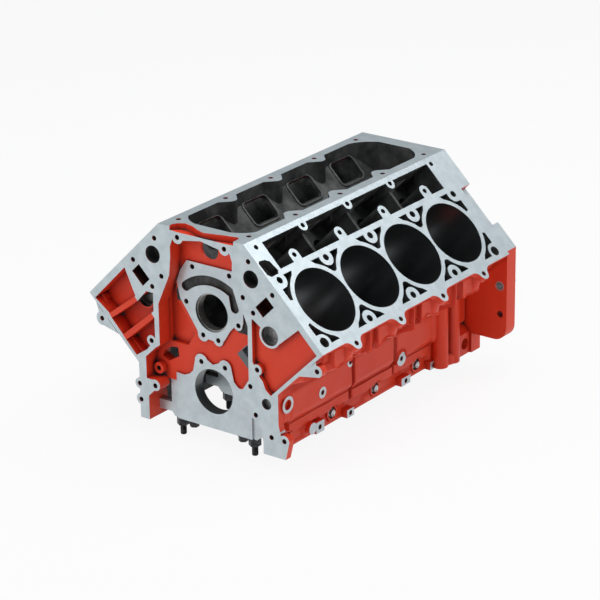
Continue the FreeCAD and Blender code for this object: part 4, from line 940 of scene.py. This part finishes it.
# %% [markdown]
# Below the deck edge each bank stands upright down to the mould's parting line, which waves from bay to
# bay, and then slopes back to the skirt. Each cylinder has its own block of it. The bays between lie
# deeper, with a thin rib in each, and a round column runs down under each bolt ear.

# %% The relief of a bank
# On the upright face, the height up the bank and the lift off the wall add up to this
UPRIGHT_SUM = 0.2263
FOOT_LIFT = 0.0100
FOOT_LOW = 0.122
FOOT_WIDTH = 0.020
SLOPE_LOW = 0.140
BAY_DEPTH = 0.0105
# A cylinder's block reaches this far before and after its bolt ear, and a rib follows in the bay
BLOCK_BEFORE = 0.0350
BLOCK_AFTER = 0.0060
BLOCK_SOFT = 0.0026
RIB_SHIFT = 0.0585
RIB_HALF = 0.0010
RIB_SOFT = 0.0020
RIB_SHARE = 0.92
LAST_EAR_MARGIN = 0.022
CORNER_SOFT = 0.0010
LEAST_LIFT = 0.0005
PARTING_MIDDLE = 0.2012


def parting_height(side, y):
    bay = (y - EAR_Y[side]) / BORE_SPACING * 2 * math.pi
    waves = 0.0034 * math.cos(bay + 0.6) + 0.0016 * math.sin(2.3 * bay + 0.8) + 0.0008 * math.sin(5.1 * bay)
    return PARTING_MIDDLE + waves


def bay_share(side, y):
    """1 in the deep bays between the cylinders' blocks, 0 on a block, and little on a rib."""
    deep = 1.0
    for index in range(4):
        ear = EAR_Y[side] + BORE_SPACING * index
        on_block = plateau(y, ear - BLOCK_BEFORE, ear + BLOCK_AFTER, BLOCK_SOFT)
        rib = ear - BORE_SPACING + RIB_SHIFT
        on_rib = plateau(y, rib - RIB_HALF, rib + RIB_HALF, RIB_SOFT)
        deep = min(deep, 1 - on_block, 1 - RIB_SHARE * on_rib)
    return deep


def bank_relief(side, y, height):
    corner = parting_height(side, y)
    upright_part = UPRIGHT_SUM - height
    foot = FOOT_LIFT * smooth_step((height - FOOT_LOW) / FOOT_WIDTH)
    slope_share = max(0.0, (height - SLOPE_LOW) / (corner - SLOPE_LOW))
    slope_part = foot + (UPRIGHT_SUM - corner - FOOT_LIFT) * slope_share
    lower = math.exp(-upright_part / CORNER_SOFT) + math.exp(-slope_part / CORNER_SOFT)
    full = -CORNER_SOFT * math.log(lower)
    last = EAR_Y[side] + 3 * BORE_SPACING
    share = 0.35 + 0.65 * smooth_step((y + 0.018) / 0.030)
    share *= smooth_step((last + LAST_EAR_MARGIN - y) / 0.010)
    sunk = BAY_DEPTH * bay_share(side, y) * smooth_step((height - 0.135) / 0.025)
    lift = max(LEAST_LIFT, full - sunk) * share
    for index in range(4):
        column = half_round(y - EAR_Y[side] - BORE_SPACING * index, EAR_RADIUS)
        if column:
            lift = max(lift, full * 0.98 + column * smooth_step((height - 0.196) / 0.024))
    return lift


print("the parting line starts", round(parting_height(1, 0), 4), "m up the left bank")

# %% [markdown]
# The skirt below carries panels between the mains, a bump over each main on the rail, and on the left
# side raised collars round the bosses and the soft foot of two columns. Where a milled boss or a bolt's
# seat lies, the skin dips into the iron and leaves it free.

# %% The relief of the skirt
PANEL_START = 0.0450
PANEL_OVERRUN = 0.0370
PANEL_END = 0.3640
PANEL_LOW = -0.037
PANEL_HIGH = 0.028
# Every second panel is a little thicker, and all are thin where the wall itself steps out
PANEL_LIFTS = (0.0064, 0.0078)
PANEL_THIN = 0.0016
BUMP_SHIFT = -0.0224
BUMP_HALF = 0.006
BUMP_LIFT = 0.0030
RAIL_LIFT = 0.0016
RAIL_LOW = -0.080
COLLAR_LIFT = 0.0055


def skirt_relief(y, z):
    lift = 0.0
    on_step = smooth_step((z + 0.021) / 0.008)
    for index in range(4):
        low = BORE_SPACING * index + (PANEL_START if index else 0.0)
        high = min(BORE_SPACING * (index + 1) + PANEL_OVERRUN, PANEL_END)
        tall = PANEL_LIFTS[index % 2] * (1 - on_step) + PANEL_THIN * on_step
        lift = max(lift, tall * plateau(y, low, high, 0.0034) * plateau(z, PANEL_LOW, PANEL_HIGH, 0.005))
    for spot in MAIN_SPOTS:
        bump = spot + BUMP_SHIFT
        along = plateau(y, bump - BUMP_HALF, bump + BUMP_HALF, 0.006)
        lift = max(lift, BUMP_LIFT * along * plateau(z, RAIL_LOW, -0.052, 0.006))
    return max(lift, RAIL_LIFT * plateau(z, RAIL_LOW, -0.058, 0.002))


def column_fillet(y, z):
    """The soft foot of the two round columns before the rear flange."""
    nearest = min(max(0.0, abs(y - spot) - radius) for _, spot, radius in REAR_COLUMNS)
    return 0.0060 * smooth_step(1 - nearest / 0.010) * smooth_step((z + 0.062) / 0.01)


def boss_collars(y, z):
    lift = 0.0
    for spot_y, spot_z, radius in SIDE_BOSSES:
        away = math.hypot(y - spot_y, z - spot_z)
        share = 1 if spot_z < 0 else 0.35
        lift = max(lift, COLLAR_LIFT * smooth_step(1 - (away - radius) / 0.0065) * share)
    return lift


def under_boss(y, z):
    """1 below a boss's own milled face, which the skin has to leave free."""
    return max(smooth_step((radius - 0.0012 - math.hypot(y - spot_y, z - spot_z)) / 0.0015)
               for spot_y, spot_z, radius in SIDE_BOSSES)


def bolt_recess(y, z):
    """1 where the skin has to leave the round seat of a side bolt free."""
    nearest = min(math.hypot(y - spot, z - SIDE_DROP) for spot in MAIN_SPOTS)
    return 1 - smooth_step((nearest - 0.0096) / 0.0030)


print("the skirt's panels stand", skirt_relief(0.05, -0.03), "m proud")

# %% [markdown]
# The grid is added flat, with one row of points for each step down the wall and one column for each step
# along the engine. Every point is then laid on the wall, lifted by the relief, and the sheet is given a
# thickness that stays inside the iron, so that it is a closed piece.

# %% Lay the grid on a wall
def walk(path, steps):
    """Evenly spaced points along a path of corners, softened, each with its outward normal."""
    lengths = [math.dist(a, b) for a, b in zip(path, path[1:])]
    total = sum(lengths)

    def at(distance):
        distance = min(total, max(0.0, distance))
        for (a, b), length in zip(zip(path, path[1:]), lengths):
            if distance <= length:
                share = distance / length
                return a[0] + (b[0] - a[0]) * share, a[1] + (b[1] - a[1]) * share
            distance -= length
        return path[-1]

    spots = []
    for step in range(steps + 1):
        middle = total * step / steps
        around = [at(middle + offset * 0.0012) for offset in range(-3, 4)]
        before, after = at(middle - 0.004), at(middle + 0.004)
        along = Vector((after[0] - before[0], after[1] - before[1])).normalized()
        spots.append((sum(p[0] for p in around) / 7, sum(p[1] for p in around) / 7, -along[1], along[0]))
    return spots


def skin_lift(side, y, z, height):
    """How far the skin stands off the wall, by all the forms together."""
    slanted = smooth_step((z - 0.030) / 0.012)
    lift = SKIN_PROUD + slanted * bank_relief(side, y, height) + (1 - slanted) * skirt_relief(y, z)
    inset = bolt_recess(y, z) if z < 0 else 0
    if side > 0:
        lift = max(lift, boss_collars(y, z), column_fillet(y, z))
        groove = max(smooth_step((GROOVE_HALF - abs(y - spot)) / 0.0028) for spot in GROOVES)
        groove *= plateau(z, -0.016, 0.030, 0.006)
        lift = lift * (1 - groove) - GROOVE_DEEP * groove
        if z < 0.040:
            inset = max(inset, under_boss(y, z))
    lift += 0.00035 * math.sin(y * 97 + z * 31) * math.sin(z * 113 - y * 23)
    return lift * (1 - inset) - 0.0028 * inset


def side_skin(side, path, name):
    length = REAR_FLANGE_FACE - FRONT_FLANGE_BACK
    columns = round(length / SKIN_STEP)
    rows = round(sum(math.dist(a, b) for a, b in zip(path, path[1:])) / SKIN_STEP)
    bpy.ops.mesh.primitive_grid_add(x_subdivisions=columns, y_subdivisions=rows, size=2)
    skin = start_piece(name)
    spots = walk(path, rows)
    for vertex in skin.data.vertices:
        row = round((1 - vertex.co.y) / 2 * rows)
        y = FRONT_FLANGE_BACK + length * (vertex.co.x + 1) / 2
        x, z, normal_x, normal_z = spots[row]
        lift = skin_lift(side, y, z, SLOPE * (x + z))
        edge = min(y - FRONT_FLANGE_BACK, REAR_FLANGE_FACE - y)
        if edge < 0.0005 or row in (0, rows):
            lift = -0.0008
        vertex.co = ((x + normal_x * lift) * side, y, z + normal_z * lift)
    point_outwards()
    outward = sum(face.normal.x * face.area for face in skin.data.polygons) * side
    if outward < 0:
        skin.data.flip_normals()
    thicken(skin, SKIN_BURY, -1)
    settle(skin)
    return skin


for side, path, name in ((1, LEFT_PATH, "left_wall_relief"), (-1, RIGHT_PATH, "right_wall_relief")):
    add_to_block(side_skin(side, path, name), wall_paint)

# %% [markdown]
# ## Round columns before the rear flange
# Two round columns stand over a half-round ledge on the left side. Each is a cylinder that is narrower
# at the top, as a pattern has to be to leave the sand, and the ledge is a thick disc.

# %% Model the columns and the ledge
def upright(name, x, y, radius, low, high, slimmer, rounding):
    """A round post that narrows to the slimmer share of its radius at the top."""
    bpy.ops.mesh.primitive_cylinder_add(vertices=48, radius=radius, depth=high - low,
                                        location=(x, y, (low + high) / 2))
    column = start_piece(name)
    settle(column)
    select_faces(column, lambda middle, normal: normal.z > 0.9)
    bpy.ops.transform.resize(value=(slimmer, slimmer, 1), center_override=(x, y, high))
    bpy.ops.object.mode_set(mode="OBJECT")
    round_edges(column, rounding, segments=4)
    settle(column)
    return column


uprights = [upright(f"column_{number}", x, y, radius, low=-0.0630, high=0.0900, slimmer=0.9, rounding=0.002)
            for number, (x, y, radius) in enumerate(REAR_COLUMNS)]
uprights.append(upright("ledge", 0.122, 0.407, 0.032, low=-0.0635, high=-0.0440,
                        slimmer=0.97, rounding=0.0045))
add_to_block(join_pieces(uprights, "rear_columns"), wall_paint)

# %% [markdown]
# ## Flash on the parting line
# Where two halves of the mould met, a thin fin of iron is left. On this block it runs in waves along the
# foot of the left bank. It is a strip one face wide, laid on the relief, with a little thickness.

# %% Lay the flash
FLASH_STEP = 0.0016
FLASH_PROUD = 0.0030
FLASH_ROOT = 0.0022
FLASH_THICKNESS = 0.0013


def flash_strip(name, low, high, offset):
    """A fin from y low to y high, at the offset up the bank from the parting line."""
    steps = round((high - low) / FLASH_STEP)
    bpy.ops.mesh.primitive_grid_add(x_subdivisions=steps, y_subdivisions=1, size=2)
    strip = start_piece(name)
    for vertex in strip.data.vertices:
        y = low + (high - low) * (vertex.co.x + 1) / 2
        height = parting_height(1, y) + offset
        wall = BANK_WALL + SKIN_PROUD + bank_relief(1, y, height)
        ragged = 0.7 + 0.3 * math.sin(y * 410) * math.sin(y * 177)
        across = wall + FLASH_PROUD * ragged if vertex.co.y > 0 else wall - FLASH_ROOT
        vertex.co = (SLOPE * (height + across), y, SLOPE * (height - across))
    thicken(strip, FLASH_THICKNESS, 0)
    point_outwards()
    settle(strip)
    return strip


strips = [flash_strip("flash_upper", -0.010, 0.396, 0.0), flash_strip("flash_lower", 0.090, 0.240, -0.0075)]
add_to_block(join_pieces(strips, "parting_flash"), wall_paint)

# %% [markdown]
# ## Rims of the valley windows
# Each window between the valley and a lifter gallery has a raised rim, which the core left where two sand
# pieces met. A rim is a flat frame with round corners: a plane, its corners rounded and its middle inset
# away, given a thickness and soft edges.

# %% Model the window rims
RIM_WIDTH = 0.0042
RIM_THICKNESS = 0.0037
RIM_CORNER = 0.0115
WINDOW_LOW = 0.1692
WINDOW_HIGH = 0.2092
WINDOW_HALF = 0.0275
WINDOW_SHIFT = 0.004
VALLEY_FACE = 0.1210


def window_rim(name):
    """A frame that lies flat, its local X up the bank and its local Y along the engine."""
    bpy.ops.mesh.primitive_plane_add(size=1)
    rim = start_piece(name)
    rim.scale = (WINDOW_HIGH - WINDOW_LOW + 2 * RIM_WIDTH, 2 * (WINDOW_HALF + RIM_WIDTH), 1)
    settle(rim)
    bpy.ops.object.mode_set(mode="EDIT")
    bpy.ops.mesh.select_all(action="SELECT")
    bpy.ops.mesh.bevel(offset=RIM_CORNER, segments=6, affect="VERTICES")
    bpy.ops.mesh.select_mode(type="FACE")
    bpy.ops.mesh.select_all(action="SELECT")
    bpy.ops.mesh.inset(thickness=RIM_WIDTH, depth=0)
    bpy.ops.mesh.delete(type="FACE")
    bpy.ops.object.mode_set(mode="OBJECT")
    thicken(rim, RIM_THICKNESS, 0)
    round_edges(rim, 0.0012, segments=3)
    settle(rim)
    return rim


RIM_SPOTS = []
RIM_TURNS = []
middle = (WINDOW_LOW + WINDOW_HIGH) / 2
for side in SIDES:
    for index in range(4):
        y = EAR_Y[side] + BORE_SPACING * index - WINDOW_SHIFT
        RIM_SPOTS.append(Vector((SLOPE * (middle - VALLEY_FACE) * side, y, SLOPE * (middle + VALLEY_FACE))))
        RIM_TURNS.append(Matrix.Rotation(-side * math.pi / 4, 4, "Y"))
rims = join_pieces(copies(window_rim("window_rim"), RIM_SPOTS, RIM_TURNS), "valley_window_rims")
add_to_block(rims, core_iron)

# %% [markdown]
# ## Hollows that the solids leave out
# Behind the arch of the timing chest the top is hollowed out and stays painted, a port opens in the left
# deck near the front, and two grooves run down the left skirt. A merged copy of the casting is cut with
# a closed cutter for each kind. It takes the casting's place, so that the hollows are real ones.

# %% Model the cutters
RECESS_TOP = 0.2600
RECESS_FLOOR = 0.2445
RECESS_SILL = 0.2492
# The ring of the recess from above, as corners (x, y)
RECESS = [(-0.0560, -0.0325), (-0.0595, -0.0240), (-0.0550, -0.0140), (-0.0450, -0.0085), (-0.0280, -0.0125),
          (-0.0140, -0.0200), (0.0000, -0.0250), (0.0120, -0.0225), (0.0340, -0.0165), (0.0545, -0.0125),
          (0.0590, -0.0160), (0.0600, -0.0325)]
# The ring of the port on the deck, as corners (offset across the bank, y)
DECK_PORT = [(-0.0925, -0.0250), (-0.0910, -0.0130), (-0.0860, -0.0060), (-0.0690, -0.0020),
             (-0.0640, -0.0060), (-0.0640, -0.0220), (-0.0690, -0.0272), (-0.0890, -0.0285)]
PORT_TOP = 0.0020
PORT_FLOOR = -0.014


def cutter(name, corners, high, low):
    """A prism from a ring of corners (x, y), with a height for its top and one for each bottom corner."""
    bpy.ops.mesh.primitive_circle_add(vertices=len(corners), radius=1, fill_type="NGON")
    block = start_piece(name)
    for vertex, (x, y) in zip(block.data.vertices, corners):
        vertex.co = (x, y, high)
    bpy.ops.object.mode_set(mode="EDIT")
    bpy.ops.mesh.select_all(action="SELECT")
    bpy.ops.mesh.extrude_region_move(TRANSFORM_OT_translate={"value": (0, 0, -0.001)})
    bpy.ops.object.mode_set(mode="OBJECT")
    for vertex in block.data.vertices:
        if vertex.co.z < high - 0.0005:
            vertex.co.z = low(vertex.co.x, vertex.co.y)
    bpy.ops.object.mode_set(mode="EDIT")
    bpy.ops.mesh.select_all(action="SELECT")
    bpy.ops.mesh.quads_convert_to_tris()
    bpy.ops.object.mode_set(mode="OBJECT")
    point_outwards()
    return block


def recess_floor(x, y):
    return RECESS_SILL if y < -0.030 else RECESS_FLOOR


recess_cutter = cutter("recess_cutter", RECESS, RECESS_TOP, recess_floor)
port_ring = [(-across, y) for across, y in DECK_PORT]
port_cutter = cutter("port_cutter", port_ring, PORT_TOP, lambda x, y: PORT_FLOOR)
deck_middle = SLOPE * DECK_HEIGHT
port_cutter.matrix_world = Matrix(((-SLOPE, 0, SLOPE, deck_middle), (0, 1, 0, 0),
                                   (SLOPE, 0, SLOPE, deck_middle), (0, 0, 0, 1)))
bpy.ops.mesh.primitive_cube_add(size=1)
groove = start_piece("groove_cutter")
groove.scale = (0.0140, GROOVE_HALF * 2, 0.0860)
settle(groove)
groove_cutter = join_pieces(copies(groove, [Vector((0.1375, y, -0.0030)) for y in GROOVES]), "groove_cutter")
print("three cutters for the recess, the port and", len(GROOVES), "grooves")

# %% [markdown]
# A node's mesh is loose triangles, so the copy's doubles are merged before anything is cut, and the
# normals it came with are dropped, because they would no longer fit.

# %% Cut the casting
bpy.ops.object.select_all(action="DESELECT")
casting = nodes["block_casting"].copy()
casting.data = nodes["block_casting"].data.copy()
bpy.context.collection.objects.link(casting)
casting.name = "cut_casting"
casting.select_set(True)
bpy.context.view_layer.objects.active = casting
bpy.ops.object.mode_set(mode="EDIT")
bpy.ops.mesh.select_all(action="SELECT")
bpy.ops.mesh.remove_doubles(threshold=0.000001)
bpy.ops.mesh.customdata_custom_splitnormals_clear()
bpy.ops.object.mode_set(mode="OBJECT")
for tool in (recess_cutter, port_cutter, groove_cutter):
    cut = casting.modifiers.new("hollow", "BOOLEAN")
    cut.operation = "DIFFERENCE"
    cut.solver = "EXACT"
    cut.object = tool
    bpy.ops.object.select_all(action="DESELECT")
    casting.select_set(True)
    bpy.context.view_layer.objects.active = casting
    bpy.ops.object.modifier_apply(modifier=cut.name)
    bpy.data.objects.remove(tool)
settle(casting)
add_to_block(casting, nodes["block_casting"].data.materials[0], "block_casting")
